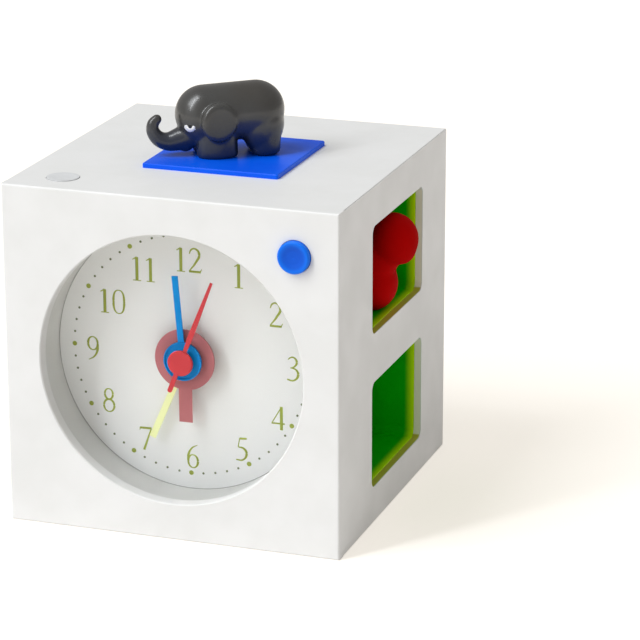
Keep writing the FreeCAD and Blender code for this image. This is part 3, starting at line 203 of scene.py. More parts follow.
def withGroup(tree, name, **values):
    node = tree.nodes.new("ShaderNodeGroup")
    node.node_tree = groups[name]
    for label, value in values.items():
        node.inputs[label].default_value = value
    return node.outputs


grainLook = {"scale": 900.0, "patchScale": 60.0, "fineDetail": 4.0, "broadDetail": 3.0,
             "patchEnds": (0.35, 0.65)}
marksLook = {"scale": 220.0, "amount": 0.3, "stretch": (1.0, 0.25, 1.0), "detail": 6.0, "roughness": 0.7,
             "ends": (0.6, 0.75)}
# Where the painted edge light on the green inserts begins and where it is full, out from the middle
paintedRimLightLook = {"inner": 53.5 * mm, "outer": 57.2 * mm}


def buildGrain():
    look = grainLook
    scales = {"Scale": look["scale"], "Patch Scale": look["patchScale"]}
    group, given, result = newGroup("mouldedGrain", scales, ["Height", "Patches"])
    place = objectPlace(group)
    feed(group, result["Height"], noise(group, place, given["Scale"], look["fineDetail"]))
    broad = noise(group, place, given["Patch Scale"], look["broadDetail"])
    feed(group, result["Patches"], ramped(group, broad, look["patchEnds"], "LINEAR"))
    return group


def buildMarks():
    look = marksLook
    usual = {"Scale": look["scale"], "Amount": look["amount"]}
    group, given, result = newGroup("handlingMarks", usual, ["Marks"])
    stretch = group.nodes.new("ShaderNodeMapping")
    stretch.inputs["Scale"].default_value = look["stretch"]
    feed(group, stretch.inputs["Vector"], objectPlace(group))
    specks = noise(group, stretch.outputs["Vector"], given["Scale"], look["detail"], look["roughness"])
    sharp = ramped(group, specks, look["ends"], "LINEAR")
    feed(group, result["Marks"], calculated(group, "MULTIPLY", sharp, given["Amount"]))
    return group


# A mask of painted light: the green inserts turn lime near their mouths, where edge light falls
def buildRim():
    ends = {"Inner": paintedRimLightLook["inner"], "Outer": paintedRimLightLook["outer"]}
    group, given, result = newGroup("mouthRim", ends, ["Rim"])
    side = calculated(group, "ABSOLUTE", axes(group, objectPlace(group))[0])
    feed(group, result["Rim"], ramped(group, side, (given["Inner"], given["Outer"])))
    return group


groups = {"grain": buildGrain(), "marks": buildMarks(), "rim": buildRim()}


# Finishes: colour and what it drifts to, roughness from and to, grain scale and its depth in mm,
# clear coat and handling marks, and where it isn't the usual one the gleam or the share of metal
finishes = {
    "white_paint": {"colour": (0.835, 0.835, 0.825), "drift": (0.80, 0.80, 0.785), "rough": (0.40, 0.50),
                    "grain": 900, "depth": 0.010, "coat": 0.0, "marks": 0.05, "gleam": 0.3},
    # white_plastic is greyer than the paint, as painted shade inside the tube round the dial
    "white_plastic": {"colour": (0.72, 0.72, 0.70), "drift": (0.68, 0.68, 0.66), "rough": (0.40, 0.50),
                      "grain": 1400, "depth": 0.006, "coat": 0.0, "marks": 0.05, "gleam": 0.3},
    "dial_print": {"colour": (0.88, 0.885, 0.88), "drift": (0.86, 0.865, 0.86), "rough": (0.60, 0.70),
                   "grain": 2400, "depth": 0.003, "coat": 0.0, "marks": 0.0, "gleam": 0.2},
    "green_insert": {"colour": (0.0, 0.50, 0.0), "drift": (0.0, 0.43, 0.0), "rough": (0.40, 0.50),
                     "grain": 1500, "depth": 0.004, "coat": 0.0, "marks": 0.05, "gleam": 0.15},
    "blue_button": {"colour": (0.0, 0.10, 0.66), "drift": (0.0, 0.085, 0.60), "rough": (0.40, 0.50),
                    "grain": 1800, "depth": 0.003, "coat": 0.0, "marks": 0.05, "gleam": 0.22},
    "blue_stage": {"colour": (0.0, 0.12, 0.92), "drift": (0.0, 0.10, 0.86), "rough": (0.36, 0.46),
                   "grain": 1500, "depth": 0.004, "coat": 0.0, "marks": 0.06, "gleam": 0.15},
    "grey_key": {"colour": (0.72, 0.73, 0.735), "drift": (0.69, 0.70, 0.705), "rough": (0.38, 0.48),
                 "grain": 1600, "depth": 0.004, "coat": 0.0, "marks": 0.05, "gleam": 0.3},
    "rose_hand": {"colour": (0.49, 0.165, 0.175), "drift": (0.46, 0.155, 0.165), "rough": (0.50, 0.60),
                  "grain": 2200, "depth": 0.002, "coat": 0.0, "marks": 0.0, "gleam": 0.15},
    "blue_hand": {"colour": (0.005, 0.27, 0.70), "drift": (0.004, 0.24, 0.65), "rough": (0.42, 0.52),
                  "grain": 2200, "depth": 0.002, "coat": 0.0, "marks": 0.0, "gleam": 0.15},
    "red_hand": {"colour": (0.62, 0.055, 0.065), "drift": (0.58, 0.05, 0.06), "rough": (0.42, 0.52),
                 "grain": 2200, "depth": 0.002, "coat": 0.0, "marks": 0.0, "gleam": 0.15},
    "yellow_hand": {"colour": (0.90, 0.94, 0.50), "drift": (0.87, 0.91, 0.46), "rough": (0.50, 0.60),
                    "grain": 2200, "depth": 0.002, "coat": 0.0, "marks": 0.0, "gleam": 0.15},
    "elephant_grey": {"colour": (0.052, 0.052, 0.050), "drift": (0.044, 0.040, 0.035), "rough": (0.27, 0.36),
                      "grain": 700, "depth": 0.004, "coat": 0.25, "marks": 0.08, "gleam": 0.5},
    "figure_red": {"colour": (0.49, 0.0, 0.0), "drift": (0.42, 0.0, 0.0), "rough": (0.75, 0.85),
                   "grain": 900, "depth": 0.012, "coat": 0.0, "marks": 0.06, "gleam": 0.04},
    "cover_plastic": {"colour": (0.76, 0.76, 0.75), "drift": (0.72, 0.72, 0.71), "rough": (0.45, 0.58),
                      "grain": 1100, "depth": 0.014, "coat": 0.0, "marks": 0.08, "gleam": 0.3},
    "black_plastic": {"colour": (0.022, 0.022, 0.024), "drift": (0.030, 0.030, 0.032), "rough": (0.40, 0.55),
                      "grain": 1400, "depth": 0.010, "coat": 0.0, "marks": 0.12},
    "gear_plastic": {"colour": (0.62, 0.61, 0.56), "drift": (0.58, 0.57, 0.52), "rough": (0.40, 0.50),
                     "grain": 1800, "depth": 0.004, "coat": 0.0, "marks": 0.0},
    "board_green": {"colour": (0.012, 0.10, 0.035), "drift": (0.010, 0.08, 0.03), "rough": (0.30, 0.42),
                    "grain": 1500, "depth": 0.006, "coat": 0.2, "marks": 0.05},
    "paper_cone": {"colour": (0.045, 0.042, 0.040), "drift": (0.06, 0.055, 0.05), "rough": (0.80, 0.92),
                   "grain": 1300, "depth": 0.030, "coat": 0.0, "marks": 0.0},
    "block_wood": {"colour": (0.55, 0.40, 0.24), "drift": (0.46, 0.32, 0.18), "rough": (0.60, 0.75),
                   "grain": 500, "depth": 0.030, "coat": 0.0, "marks": 0.1},
    "brass": {"colour": (0.80, 0.58, 0.26), "drift": (0.72, 0.50, 0.21), "rough": (0.22, 0.34),
              "grain": 1800, "depth": 0.003, "coat": 0.0, "marks": 0.15, "metal": 1.0},
    "steel": {"colour": (0.62, 0.62, 0.63), "drift": (0.55, 0.55, 0.56), "rough": (0.25, 0.38),
              "grain": 1800, "depth": 0.003, "coat": 0.0, "marks": 0.15, "metal": 1.0},
    "copper_coil": {"colour": (0.62, 0.26, 0.13), "drift": (0.52, 0.20, 0.09), "rough": (0.28, 0.40),
                    "grain": 1200, "depth": 0.020, "coat": 0.2, "marks": 0.0, "metal": 1.0},
    "cell_metal": {"colour": (0.50, 0.50, 0.52), "drift": (0.44, 0.44, 0.46), "rough": (0.28, 0.40),
                   "grain": 1500, "depth": 0.004, "coat": 0.2, "marks": 0.1, "metal": 0.9},
    "numeral_ink": {"colour": (0.36, 0.42, 0.075), "drift": (0.33, 0.39, 0.066), "rough": (0.50, 0.60),
                    "grain": 2400, "depth": 0.002, "coat": 0.0, "marks": 0.0, "gleam": 0.2},
    "minute_ink": {"colour": (0.18, 0.21, 0.12), "drift": (0.16, 0.19, 0.10), "rough": (0.50, 0.60),
                   "grain": 2400, "depth": 0.002, "coat": 0.0, "marks": 0.0, "gleam": 0.2},
    "seam_shade": {"colour": (0.16, 0.155, 0.145), "drift": (0.22, 0.215, 0.20), "rough": (0.70, 0.80),
                   "grain": 2400, "depth": 0.002, "coat": 0.0, "marks": 0.0, "gleam": 0.1},
    "eye_white": {"colour": (0.90, 0.90, 0.88), "drift": (0.86, 0.86, 0.84), "rough": (0.30, 0.38),
                  "grain": 1800, "depth": 0.003, "coat": 0.0, "marks": 0.0, "gleam": 0.4},
    "eye_black": {"colour": (0.008, 0.008, 0.009), "drift": (0.012, 0.012, 0.013), "rough": (0.22, 0.30),
                  "grain": 1800, "depth": 0.003, "coat": 0.0, "marks": 0.0, "gleam": 0.4},
}
# Painted light and shade over one piece: the kind of mask, its lengths in mm or how far up the surface
# faces, from -1 to 1, and the other colour
paintedLightTints = {
    # The green inserts: painted edge light, lime near the mouth
    "green_insert": [("rim", None, (0.62, 0.95, 0.0))],
    # The blue button: a painted highlight, lighter blue in a ring near its rim
    "blue_button": [("paintedHighlightRing", {"across": 44.6, "up": 104.8, "ends": (3.2, 5.2)}, (0.0, 0.165, 0.86))],
    # The elephant: painted shade towards the feet, darker and bluer with painted reflection of the blue stage
    "elephant_grey": [("low", {"ends": (137.0, 125.0)}, (0.012, 0.019, 0.040))],
    # The white paint: painted bounce light on the cut edges of the side openings, warm beige where they face
    # sideways and olive green where they face up
    "white_paint": [("paintedBounceLight", {"facing": (-0.6, -0.4)}, (0.95, 0.90, 0.76)),
                    ("paintedBounceLight", {"facing": (0.6, 0.8)}, (0.58, 0.52, 0.06))],
}
# The cut edges of the side openings, which get painted bounce light: depth in the panel, then middle and half
# width along and up, in mm
mouthBox = {"skin": (59.85, 59.6), "along": (3.5, 30.0), "up": (60.0, 49.0)}
# What all the finishes share
common = {"gleam": 0.5, "coatRough": 0.12, "bump": 0.5}
# The bend is the lens's refractive index, and the slant bend the one that says how much slanted light is lost
lensLook = {"colour": (0.98, 0.985, 0.98, 1.0), "bend": 1.02, "smudgeScale": 60.0, "smudges": 0.03,
            "through": (0.89, 0.895, 0.90, 1.0), "slantBend": 1.49, "lost": (0.0, 0.0, 0.0, 1.0)}


def inMetres(*lengths):
    return [length * mm for length in lengths]


# Masks for painted light and shade, picked by kind
def maskOf(tree, kind, made):
    if kind == "rim":
        return withGroup(tree, "rim")["Rim"]
    across, along, up = axes(tree, objectPlace(tree))
    if kind == "low":
        return ramped(tree, up, inMetres(*made["ends"]))
    if kind == "paintedHighlightRing":
        squares = [calculated(tree, "POWER", calculated(tree, "SUBTRACT", value, middle * mm), 2.0)
                   for value, middle in ((across, made["across"]), (up, made["up"]))]
        reach = calculated(tree, "SQRT", calculated(tree, "ADD", *squares))
        return ramped(tree, reach, inMetres(*made["ends"]))
    # Otherwise the cut edges of the side openings, picked by the way they face, for painted bounce light
    skin = ramped(tree, calculated(tree, "ABSOLUTE", across), inMetres(*mouthBox["skin"]))
    inside = calculated(tree, "MULTIPLY", calculated(tree, "COMPARE", along, *inMetres(*mouthBox["along"])),
                        calculated(tree, "COMPARE", up, *inMetres(*mouthBox["up"])))
    normal = tree.nodes.new("ShaderNodeNewGeometry").outputs["Normal"]
    facing = ramped(tree, axes(tree, normal)[2], made["facing"])
    return calculated(tree, "MULTIPLY", calculated(tree, "MULTIPLY", skin, inside), facing)


def newMaterial(name):
    material = bpy.data.materials.new(name)
    material.use_nodes = True
    return material, material.node_tree


def buildFinish(name, look):
    material, tree = newMaterial(name)
    shader = tree.nodes["Principled BSDF"]
    shader.inputs["Metallic"].default_value = look.get("metal", 0.0)
    shader.inputs["Coat Weight"].default_value = look["coat"]
    shader.inputs["Coat Roughness"].default_value = common["coatRough"]
    shader.inputs["Specular IOR Level"].default_value = look.get("gleam", common["gleam"])
    grain = withGroup(tree, "grain", Scale=look["grain"])
    marks = withGroup(tree, "marks", Amount=look["marks"])
    gloss = ramped(tree, grain["Patches"], (0.0, 1.0), "LINEAR", look["rough"])
    rubbed = calculated(tree, "ADD", gloss, marks["Marks"])
    rubbed.node.use_clamp = True
    feed(tree, shader.inputs["Roughness"], rubbed)
    bump = tree.nodes.new("ShaderNodeBump")
    bump.inputs["Strength"].default_value = common["bump"]
    bump.inputs["Distance"].default_value = look["depth"] * mm
    feed(tree, bump.inputs["Height"], grain["Height"])
    feed(tree, shader.inputs["Normal"], bump.outputs["Normal"])
    colour = blended(tree, grain["Patches"], (*look["colour"], 1.0), (*look["drift"], 1.0))
    # Painted light and shade laid over the colour
    for kind, made, other in paintedLightTints.get(name, []):
        colour = blended(tree, maskOf(tree, kind, made), colour, (*other, 1.0))
    feed(tree, shader.inputs["Base Color"], colour)
    return material


# The lens lets lamp light through to the dial, and loses more of it the more slanted it comes
def buildClear(name):
    look = lensLook
    material, tree = newMaterial(name)
    shader = tree.nodes["Principled BSDF"]
    shader.inputs["Base Color"].default_value = look["colour"]
    shader.inputs["Transmission Weight"].default_value = 1.0
    shader.inputs["IOR"].default_value = look["bend"]
    shader.inputs["Specular IOR Level"].default_value = common["gleam"]
    smudges = withGroup(tree, "marks", Scale=look["smudgeScale"], Amount=look["smudges"])
    feed(tree, shader.inputs["Roughness"], smudges["Marks"])
    slant = tree.nodes.new("ShaderNodeFresnel")
    slant.inputs["IOR"].default_value = look["slantBend"]
    through = plainShader(tree, "ShaderNodeBsdfTransparent", "BSDF", look["through"])
    lost = plainShader(tree, "ShaderNodeBsdfTransparent", "BSDF", look["lost"])
    passed = eitherShader(tree, slant.outputs["Fac"], through, lost)
    shadow = tree.nodes.new("ShaderNodeLightPath").outputs["Is Shadow Ray"]
    feed(tree, tree.nodes["Material Output"].inputs["Surface"],
         eitherShader(tree, shadow, shader.outputs["BSDF"], passed))
    return material


materials = {name: buildFinish(name, look) for name, look in finishes.items()}
materials["lens_clear"] = buildClear("lens_clear")
for part in record["subparts"]:
    node = nodes[part["node"]]
    node.data.materials.clear()
    node.data.materials.append(materials[part["material_slot"]])
print("finishes on", len(record["subparts"]), "nodes")


# The printed dial: numerals from pen strokes, hour dots and minute dots
dial = {"numeralHeight": 8.6 * mm, "advance": 0.58, "widen": 1.15, "stem": 0.064, "ink": 0.04 * mm,
        "inkEdge": 0.6, "edgeSteps": 2, "dotRadius": 42.5 * mm, "dotRound": 20, "turn": math.radians(6),
        "minutes": 60, "hourEvery": 5}
dotLooks = {"hourDots": {"radius": 0.85 * mm, "hours": True, "finish": "numeral_ink"},
            "minuteDots": {"radius": 0.42 * mm, "hours": False, "finish": "minute_ink"}}
seamLook = {"radius": 48.15 * mm, "line": 0.075 * mm, "round": 160, "section": 8}
pen = {"curveSteps": 10, "sectionSteps": 1}
# The middle of each numeral from the middle of the dial, across and up, in mm
numeralPlaces = {1: (18.2, 30.1), 2: (31.3, 17.7), 3: (37.3, -0.8), 4: (31.8, -18.9), 5: (18.7, -31.7),
                 6: (0.6, -36.4), 7: (-16.7, -31.8), 8: (-30.2, -19.4), 9: (-35.8, -1.1), 10: (-28.3, 16.6),
                 11: (-16.2, 29.2), 12: (-0.1, 34.0)}
# Each stroke: closed, open or straight, then across, up and weight as shares of the numeral's height
digitStrokes = {
    "0": [("closed", [(0.26, 0.985, 0.35), (0.06, 0.5, 1.0), (0.26, 0.015, 0.35), (0.46, 0.5, 1.0)])],
    "1": [("straight", [(0.24, 0.0, 1.0), (0.24, 0.97, 1.0)]),
          ("straight", [(0.08, 0.86, 0.3), (0.24, 0.97, 0.6)]),
          ("straight", [(0.09, 0.012, 0.35), (0.39, 0.012, 0.35)])],
    "2": [("open", [(0.05, 0.76, 0.4), (0.12, 0.93, 0.6), (0.26, 0.98, 0.6), (0.41, 0.78, 1.0),
                    (0.28, 0.42, 0.8), (0.04, 0.05, 0.4)]),
          ("straight", [(0.03, 0.04, 0.8), (0.46, 0.04, 0.8)]),
          ("straight", [(0.44, 0.05, 0.5), (0.5, 0.17, 0.2)])],
    "3": [("open", [(0.07, 0.86, 0.3), (0.15, 0.95, 0.5), (0.27, 0.98, 0.6), (0.39, 0.8, 0.9),
                    (0.3, 0.6, 0.6), (0.15, 0.53, 0.3)]),
          ("open", [(0.17, 0.54, 0.3), (0.36, 0.48, 0.7), (0.44, 0.27, 1.0), (0.28, 0.03, 0.6),
                    (0.04, 0.05, 0.6)])],
    "4": [("straight", [(0.38, 0.0, 1.0), (0.38, 0.98, 1.0)]),
          ("straight", [(0.38, 0.96, 0.4), (0.04, 0.29, 0.4)]),
          ("straight", [(0.02, 0.27, 0.6), (0.5, 0.27, 0.6)])],
    "5": [("straight", [(0.17, 0.94, 0.8), (0.43, 0.96, 0.7)]),
          ("straight", [(0.17, 0.95, 0.4), (0.11, 0.58, 0.4)]),
          ("open", [(0.11, 0.58, 0.4), (0.32, 0.53, 0.8), (0.42, 0.32, 1.0), (0.28, 0.05, 0.6),
                    (0.03, 0.04, 0.5)])],
    "6": [("closed", [(0.26, 0.56, 0.4), (0.08, 0.29, 0.9), (0.26, 0.015, 0.4), (0.44, 0.28, 1.0)]),
          ("open", [(0.43, 0.99, 0.25), (0.22, 0.84, 0.6), (0.09, 0.55, 0.9), (0.08, 0.3, 0.9)])],
    "7": [("straight", [(0.05, 0.93, 0.8), (0.47, 0.94, 0.8)]),
          ("straight", [(0.05, 0.95, 0.5), (0.03, 0.82, 0.2)]),
          ("straight", [(0.46, 0.93, 0.5), (0.18, 0.0, 0.9)])],
    "8": [("closed", [(0.25, 0.985, 0.4), (0.1, 0.78, 0.8), (0.25, 0.54, 0.7), (0.4, 0.78, 0.8)]),
          ("closed", [(0.25, 0.54, 0.7), (0.06, 0.27, 0.8), (0.25, 0.015, 0.4), (0.45, 0.27, 0.9)])],
    "9": [("closed", [(0.26, 0.985, 0.4), (0.08, 0.72, 1.0), (0.26, 0.44, 0.4), (0.44, 0.71, 0.9)]),
          ("open", [(0.44, 0.7, 0.9), (0.43, 0.45, 0.9), (0.3, 0.16, 0.6), (0.09, 0.01, 0.25)])],
}
dialLow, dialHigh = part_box("dial")
dialCentre = Vector(((dialLow.x + dialHigh.x) / 2, dialLow.y, (dialLow.z + dialHigh.z) / 2))


# A round tube along a stroke, as thick at each point as the point's weight says
def tube(kind, points, origin, height, halfWidth, steps, name, widen=1.0):
    bpy.ops.curve.primitive_bezier_curve_add()
    stroke = bpy.context.active_object
    stroke.data.dimensions = "3D"
    spline = stroke.data.splines[0]
    spline.bezier_points.add(len(points) - len(spline.bezier_points))
    style = "VECTOR" if kind == "straight" else "AUTO"
    for knot, (across, up, weight) in zip(spline.bezier_points, points):
        knot.co = origin + Vector((across * widen, 0.0, up)) * height
        knot.radius = weight
        knot.tilt = 0.0
        knot.handle_left_type = style
        knot.handle_right_type = style
    spline.use_cyclic_u = kind == "closed"
    spline.resolution_u = pen["curveSteps"]
    stroke.data.twist_mode = "Z_UP"
    stroke.location = (0.0, 0.0, 0.0)
    stroke.data.bevel_depth = halfWidth
    stroke.data.bevel_resolution = steps
    stroke.data.use_fill_caps = True
    makeActive(stroke)
    bpy.ops.object.convert(target="MESH")
    return added(name)


# A tube pressed flat, so that it stands out from the ground by no more than the depth
def inkStroke(kind, points, origin, height, halfWidth, depth, widen=1.0):
    piece = tube(kind, points, origin, height, halfWidth, pen["sectionSteps"], "penStroke", widen)
    bpy.ops.object.mode_set(mode="EDIT")
    bpy.ops.mesh.select_all(action="SELECT")
    bpy.ops.transform.resize(value=(1.0, depth / halfWidth, 1.0), center_override=(0.0, origin.y, 0.0))
    bpy.ops.object.mode_set(mode="OBJECT")
    return piece


def makeNumerals():
    height = dial["numeralHeight"]
    advance = dial["advance"] * height
    strokes = []
    for hour, (across, up) in numeralPlaces.items():
        text = str(hour)
        centre = dialCentre + Vector((across, 0.0, up)) * mm
        for place, digit in enumerate(text):
            corner = centre + Vector((place * advance - advance * len(text) / 2, 0.0, -height / 2))
            for kind, points in digitStrokes[digit]:
                strokes.append(inkStroke(kind, points, corner, height, dial["stem"] * height, dial["ink"],
                                         dial["widen"]))
    dress(joined(strokes, "dialNumerals"), materials["numeral_ink"], "clock_case")


def makeDots(name, look):
    front = dialCentre.y - dial["ink"]
    dots = []
    for minute in range(dial["minutes"]):
        if (minute % dial["hourEvery"] == 0) != look["hours"]:
            continue
        angle = minute * dial["turn"]
        centre = dialCentre + Vector((math.sin(angle), 0.0, math.cos(angle))) * dial["dotRadius"]
        bpy.ops.mesh.primitive_cylinder_add(vertices=dial["dotRound"], radius=look["radius"],
                                            depth=2 * dial["ink"], location=centre, rotation=facingFront)
        dot = added(name)
        settle(dot)
        pick(dot, "EDGE", lambda edge: all(abs(vertex.co.y - front) < near["level"] for vertex in edge.verts))
        bpy.ops.mesh.bevel(offset=dial["ink"] * dial["inkEdge"], segments=dial["edgeSteps"])
        deselectAll()
        dots.append(dot)
    dress(joined(dots, name), materials[look["finish"]], "clock_case")


# A thin dark ring round the edge of the dial, where it meets its tube: painted shade along that seam
def makeSeam():
    bpy.ops.mesh.primitive_torus_add(major_radius=seamLook["radius"], minor_radius=seamLook["line"],
                                     major_segments=seamLook["round"], minor_segments=seamLook["section"],
                                     location=dialCentre, rotation=facingFront)
    seam = added("dialSeamShade")
    settle(seam)
    outward(seam)
    dress(seam, materials["seam_shade"], "clock_case")


makeNumerals()
makeSeam()
for name, look in dotLooks.items():
    makeDots(name, look)
print("dial printed")


# The toy animals are each one smooth moulding of rounded lumps, with their lengths in mm. A lump gives its
# middle and its half sizes, and the elephant's body how far its rear half is drawn out. Blend is the number
# of rounds of smoothing.
elephantLook = {
    "bulk": [((-10.2, 0.0, 14.3), (10.1, 9.7, 10.1), (18.0, 0.0, 0.9)),
             ((10.6, 0.0, 10.8), (7.1, 9.3, 9.8)),
             ((9.0, 3.9, 10.0), (7.0, 5.3, 9.6)),
             ((9.0, -3.9, 10.0), (7.0, 5.3, 9.6)),
             ((-16.8, 0.0, 3.2), (2.6, 3.0, 1.9)),
             ((-26.6, 0.0, 13.1), (1.8, 1.8, 1.8))],
    "frontLeg": {"place": (-6.4, 4.7, 6.0), "radius": 7.3, "top": 6.7, "length": 12.0,
                 "squash": 0.62, "sole": 0.9},
    "rearLeg": {"place": (10.3, 4.2, 5.5), "radius": 5.2, "top": 6.0, "length": 11.0,
                "squash": 0.78, "sole": 1.8},
    "ear": {"place": (-6.4, 9.6, 13.3), "size": (6.4, 6.9), "depth": 3.6, "rim": 1.7,
            "turn": math.radians(8)},
    "trunk": [(-12.5, 8.4, 5.4), (-19.2, 5.7, 4.0), (-24.2, 5.3, 3.05), (-27.6, 8.1, 2.5),
              (-28.0, 11.5, 2.1), (-26.6, 13.1, 1.8)],
    "voxel": 0.30, "blend": 36, "place": (2.0, -2.4, 122.25), "heading": math.radians(30),
}
eyeLook = {
    "place": (-16.2, 11.4), "castFrom": 30.0, "whiteWidth": 0.92, "proud": 0.16,
    "white": [(-1.25, 0.7, 0.5), (-0.9, -0.3, 0.95), (0.0, -0.75, 1.25), (0.9, -0.3, 0.95), (1.25, 0.7, 0.5)],
    "pupil": (0.62, 0.24, 0.66), "pupilRise": 0.35,
}
figureLook = {
    "bulk": [((57.3, 5.0, 94.3), (9.3, 9.4, 9.3)),
             ((61.2, 5.0, 91.5), (4.7, 6.5, 5.8)),
             ((50.0, 5.0, 77.8), (9.2, 9.9, 9.9)),
             ((51.2, 5.0, 88.3), (9.1, 9.5, 8.9)),
             ((49.6, 5.0, 83.0), (8.4, 9.6, 8.0))],
    "floor": 68.5, "voxel": 0.30, "blend": 110,
}
# How finely the lumps are divided before they are moulded into one
fine = {"lump": {"segments": 40, "ring_count": 24}, "leg": 48, "sole": 5, "ear": 64, "rim": 6, "trunk": 6,
        "smoothing": 0.5}


def lump(place, size, stretch=None):
    bpy.ops.mesh.primitive_uv_sphere_add(**fine["lump"], radius=1.0, location=Vector(place) * mm,
                                         scale=Vector(size) * mm)
    piece = added("lump")
    settle(piece)
    if stretch:
        pick(piece, "VERT", lambda vertex: vertex.co.x > place[0] * mm - near["plane"])
        bpy.ops.transform.translate(value=Vector(stretch) * mm)
        deselectAll()
    return piece


def leg(look, side):
    across, outer, level = look["place"]
    bpy.ops.mesh.primitive_cone_add(vertices=fine["leg"], radius1=look["radius"] * mm,
                                    radius2=look["top"] * mm, depth=look["length"] * mm,
                                    location=(0.0, 0.0, level * mm))
    piece = added("leg")
    settle(piece)
    pick(piece, "EDGE", lambda edge: all(vertex.co.z < near["plane"] for vertex in edge.verts))
    bpy.ops.mesh.bevel(offset=look["sole"] * mm, segments=fine["sole"])
    bpy.ops.mesh.select_all(action="SELECT")
    bpy.ops.transform.resize(value=(1.0, look["squash"], 1.0), center_override=(0.0, 0.0, 0.0))
    bpy.ops.transform.translate(value=(across * mm, side * outer * mm, 0.0))
    deselectAll()
    return piece


def ear(look, side):
    across, outer, level = look["place"]
    wide, tall = look["size"]
    bpy.ops.mesh.primitive_cylinder_add(vertices=fine["ear"], radius=wide * mm, depth=look["depth"] * mm,
                                        rotation=facingFront)
    piece = added("ear")
    settle(piece)
    pick(piece, "EDGE", lambda edge: abs(edge.verts[0].co.y - edge.verts[1].co.y) < near["level"])
    bpy.ops.mesh.bevel(offset=look["rim"] * mm, segments=fine["rim"])
    deselectAll()
    piece.scale = (1.0, 1.0, tall / wide)
    piece.rotation_euler = (0.0, 0.0, -side * look["turn"])
    piece.location = Vector((across, side * outer, level)) * mm
    settle(piece)
    return piece


def moulded(pieces, name, look):
    piece = joined(pieces, name)
    remesh = piece.modifiers.new("remesh", "REMESH")
    remesh.mode = "VOXEL"
    remesh.voxel_size = look["voxel"] * mm
    smooth = piece.modifiers.new("smooth", "SMOOTH")
    smooth.factor = fine["smoothing"]
    smooth.iterations = look["blend"]
    applyAll(piece)
    bpy.ops.object.shade_smooth()
    return piece


# Moves every point of a piece at the middle out to the skin on that side
def laidOn(piece, ground, side):
    for vertex in piece.data.vertices:
        start = Vector((vertex.co.x, side * eyeLook["castFrom"] * mm, vertex.co.z))
        found, spot = ground.ray_cast(start, Vector((0.0, -side, 0.0)))[:2]
        if found:
            vertex.co.y += spot.y


def standing(piece):
    piece.rotation_euler = (0.0, 0.0, elephantLook["heading"])
    piece.location = Vector(elephantLook["place"]) * mm
    settle(piece)


def makeEyes(toy):
    look = eyeLook
    across, level = look["place"]
    corner = Vector((across * mm, 0.0, level * mm))
    wide, proud = inMetres(look["whiteWidth"], look["proud"])
    whites, pupils = [], []
    for side in (-1, 1):
        whites.append(inkStroke("open", look["white"], corner, mm, wide, proud))
        pupils.append(lump((across, 0.0, level + look["pupilRise"]), look["pupil"]))
        laidOn(whites[-1], toy, side)
        laidOn(pupils[-1], toy, side)
    for pair, name, finish, slot in ((whites, "elephantEyeWhites", "eye_white", "white_plastic"),
                                     (pupils, "elephantPupils", "eye_black", "black_plastic")):
        eyes = joined(pair, name)
        outward(eyes)
        standing(eyes)
        dress(eyes, materials[finish], "elephant_toy")


def makeElephant():
    look = elephantLook
    lumps = [tube("open", look["trunk"], Vector(), mm, mm, fine["trunk"], "trunk")]
    lumps += [lump(*form) for form in look["bulk"]]
    for side in (-1, 1):
        lumps += [leg(look["frontLeg"], side), leg(look["rearLeg"], side), ear(look["ear"], side)]
    toy = moulded(lumps, "elephantToy", look)
    makeEyes(toy)
    standing(toy)
    dress(toy, materials["elephant_grey"], "elephant_toy")
    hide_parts("elephant")


def makeStoredAnimal():
    look = figureLook
    lumps = [lump(*form) for form in look["bulk"]]
    for piece in lumps:
        pick(piece, "FACE", lambda face: True)
        bpy.ops.mesh.bisect(plane_co=(0.0, 0.0, look["floor"] * mm), plane_no=(0.0, 0.0, 1.0), use_fill=True,
                            clear_inner=True)
        deselectAll()
    toy = moulded(lumps, "storedAnimal", look)
    dress(toy, materials["figure_red"], "stored_toy")
    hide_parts("stored_figure")


makeElephant()
makeStoredAnimal()
print("toys moulded")


# Floor, sky, lamps and camera, with rises in degrees and lengths in metres
floorLook = {"size": 6.0, "colour": (0.90, 0.868, 0.835, 1.0),
             "glow": (1.93, 1.84, 1.66, 1.0), "glowShare": 0.3}
skyLook = {"colour": (1.0, 0.978, 0.955, 1.0), "strength": 0.46,
           "backdrop": (1.0, 1.0, 1.0, 1.0), "backdropStrength": 1.0}
sunLook = {"rises": (23, 29, 35, 41, 48, 56, 65), "heading": (-0.60, -0.80), "distance": 1.0, "power": 1.3,
           "width": math.radians(6.5)}
areaLooks = {
    "window": {"rise": 54, "heading": (-0.78, -0.63), "distance": 3.0, "size": (0.8, 2.2), "power": 35.0},
    "fill": {"rise": 16, "heading": (-0.54, -0.84), "distance": 2.6, "size": (2.2, 1.4), "power": 3.0},
}
lampColour = (0.94, 0.97, 1.0)
view = {"place": (0.36254, -0.95824, 0.38719), "turn": (72.3037, 0.0734, 18.9725), "lens": 171.31,
        "sensor": 36.0, "clip": (0.05, 20.0)}


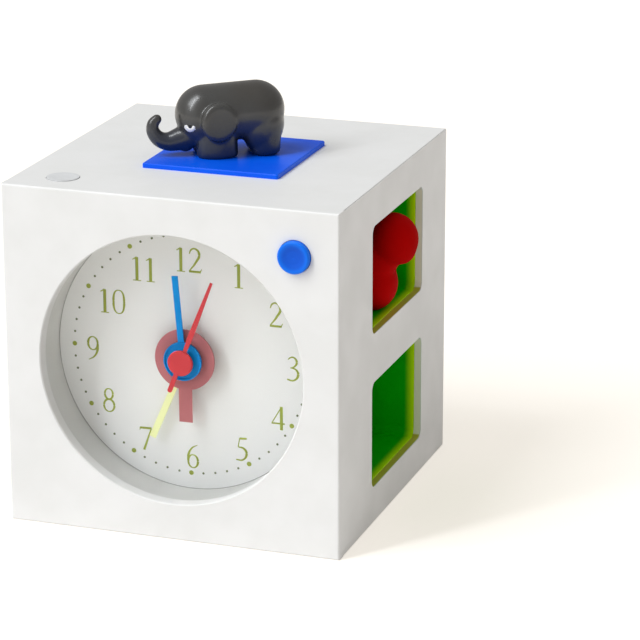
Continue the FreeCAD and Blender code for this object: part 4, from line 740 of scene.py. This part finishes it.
# Seen straight, in gloss or through the lens, the floor glows a little, so that it stays pale in the view
def makeFloor():
    look = floorLook
    bpy.ops.mesh.primitive_plane_add(size=look["size"], location=(0.0, 0.0, 0.0))
    floor = added("floor")
    material, tree = newMaterial("paleFloor")
    tree.nodes.remove(tree.nodes["Principled BSDF"])
    paper = plainShader(tree, "ShaderNodeBsdfDiffuse", "BSDF", look["colour"])
    glow = plainShader(tree, "ShaderNodeEmission", "Emission", look["glow"])
    path = tree.nodes.new("ShaderNodeLightPath").outputs
    seen = calculated(tree, "MAXIMUM", path["Is Camera Ray"], path["Is Transmission Ray"])
    seen = calculated(tree, "MAXIMUM", seen, path["Is Glossy Ray"])
    share = calculated(tree, "MULTIPLY", seen, look["glowShare"])
    feed(tree, tree.nodes["Material Output"].inputs["Surface"], eitherShader(tree, share, paper, glow))
    floor.data.materials.append(material)


# The sky lights the clock with its own colour and shows the camera a white backdrop
def makeSky():
    look = skyLook
    world = bpy.context.scene.world or bpy.data.worlds.new("studioSky")
    bpy.context.scene.world = world
    world.use_nodes = True
    tree = world.node_tree
    light = tree.nodes["Background"]
    light.inputs["Color"].default_value = look["colour"]
    light.inputs["Strength"].default_value = look["strength"]
    backdrop = plainShader(tree, "ShaderNodeBackground", "Background", look["backdrop"],
                           look["backdropStrength"])
    seen = tree.nodes.new("ShaderNodeLightPath").outputs["Is Camera Ray"]
    feed(tree, tree.nodes["World Output"].inputs["Surface"],
         eitherShader(tree, seen, light.outputs["Background"], backdrop))


def makeLamp(kind, name, look, rise, power):
    across, along = look["heading"]
    angle = math.radians(rise)
    heading = Vector((across * math.cos(angle), along * math.cos(angle), math.sin(angle)))
    bpy.ops.object.light_add(type=kind, location=heading * look["distance"])
    lamp = added(name)
    lamp.rotation_euler = (-heading).to_track_quat("-Z", "Y").to_euler()
    lamp.data.energy = power
    lamp.data.color = lampColour
    return lamp


# The sun is a column of lamps, so that its shadows are softer up and down than sideways
def makeLight():
    rises = sunLook["rises"]
    for rise in rises:
        sun = makeLamp("SUN", "daylight%d" % rise, sunLook, rise, sunLook["power"] / len(rises))
        sun.data.angle = sunLook["width"]
    for name, look in areaLooks.items():
        lamp = makeLamp("AREA", name, look, look["rise"], look["power"])
        lamp.data.shape = "RECTANGLE"
        lamp.data.size, lamp.data.size_y = look["size"]


def makeCamera():
    turn = [math.radians(angle) for angle in view["turn"]]
    bpy.ops.object.camera_add(location=view["place"], rotation=turn)
    camera = added("photoCamera")
    camera.data.lens = view["lens"]
    camera.data.sensor_width = view["sensor"]
    camera.data.clip_start, camera.data.clip_end = view["clip"]
    bpy.context.scene.camera = camera


makeFloor()
makeSky()
makeLight()
makeCamera()
bpy.context.scene.view_settings.view_transform = "Standard"
print("studio set")

deselectAll()
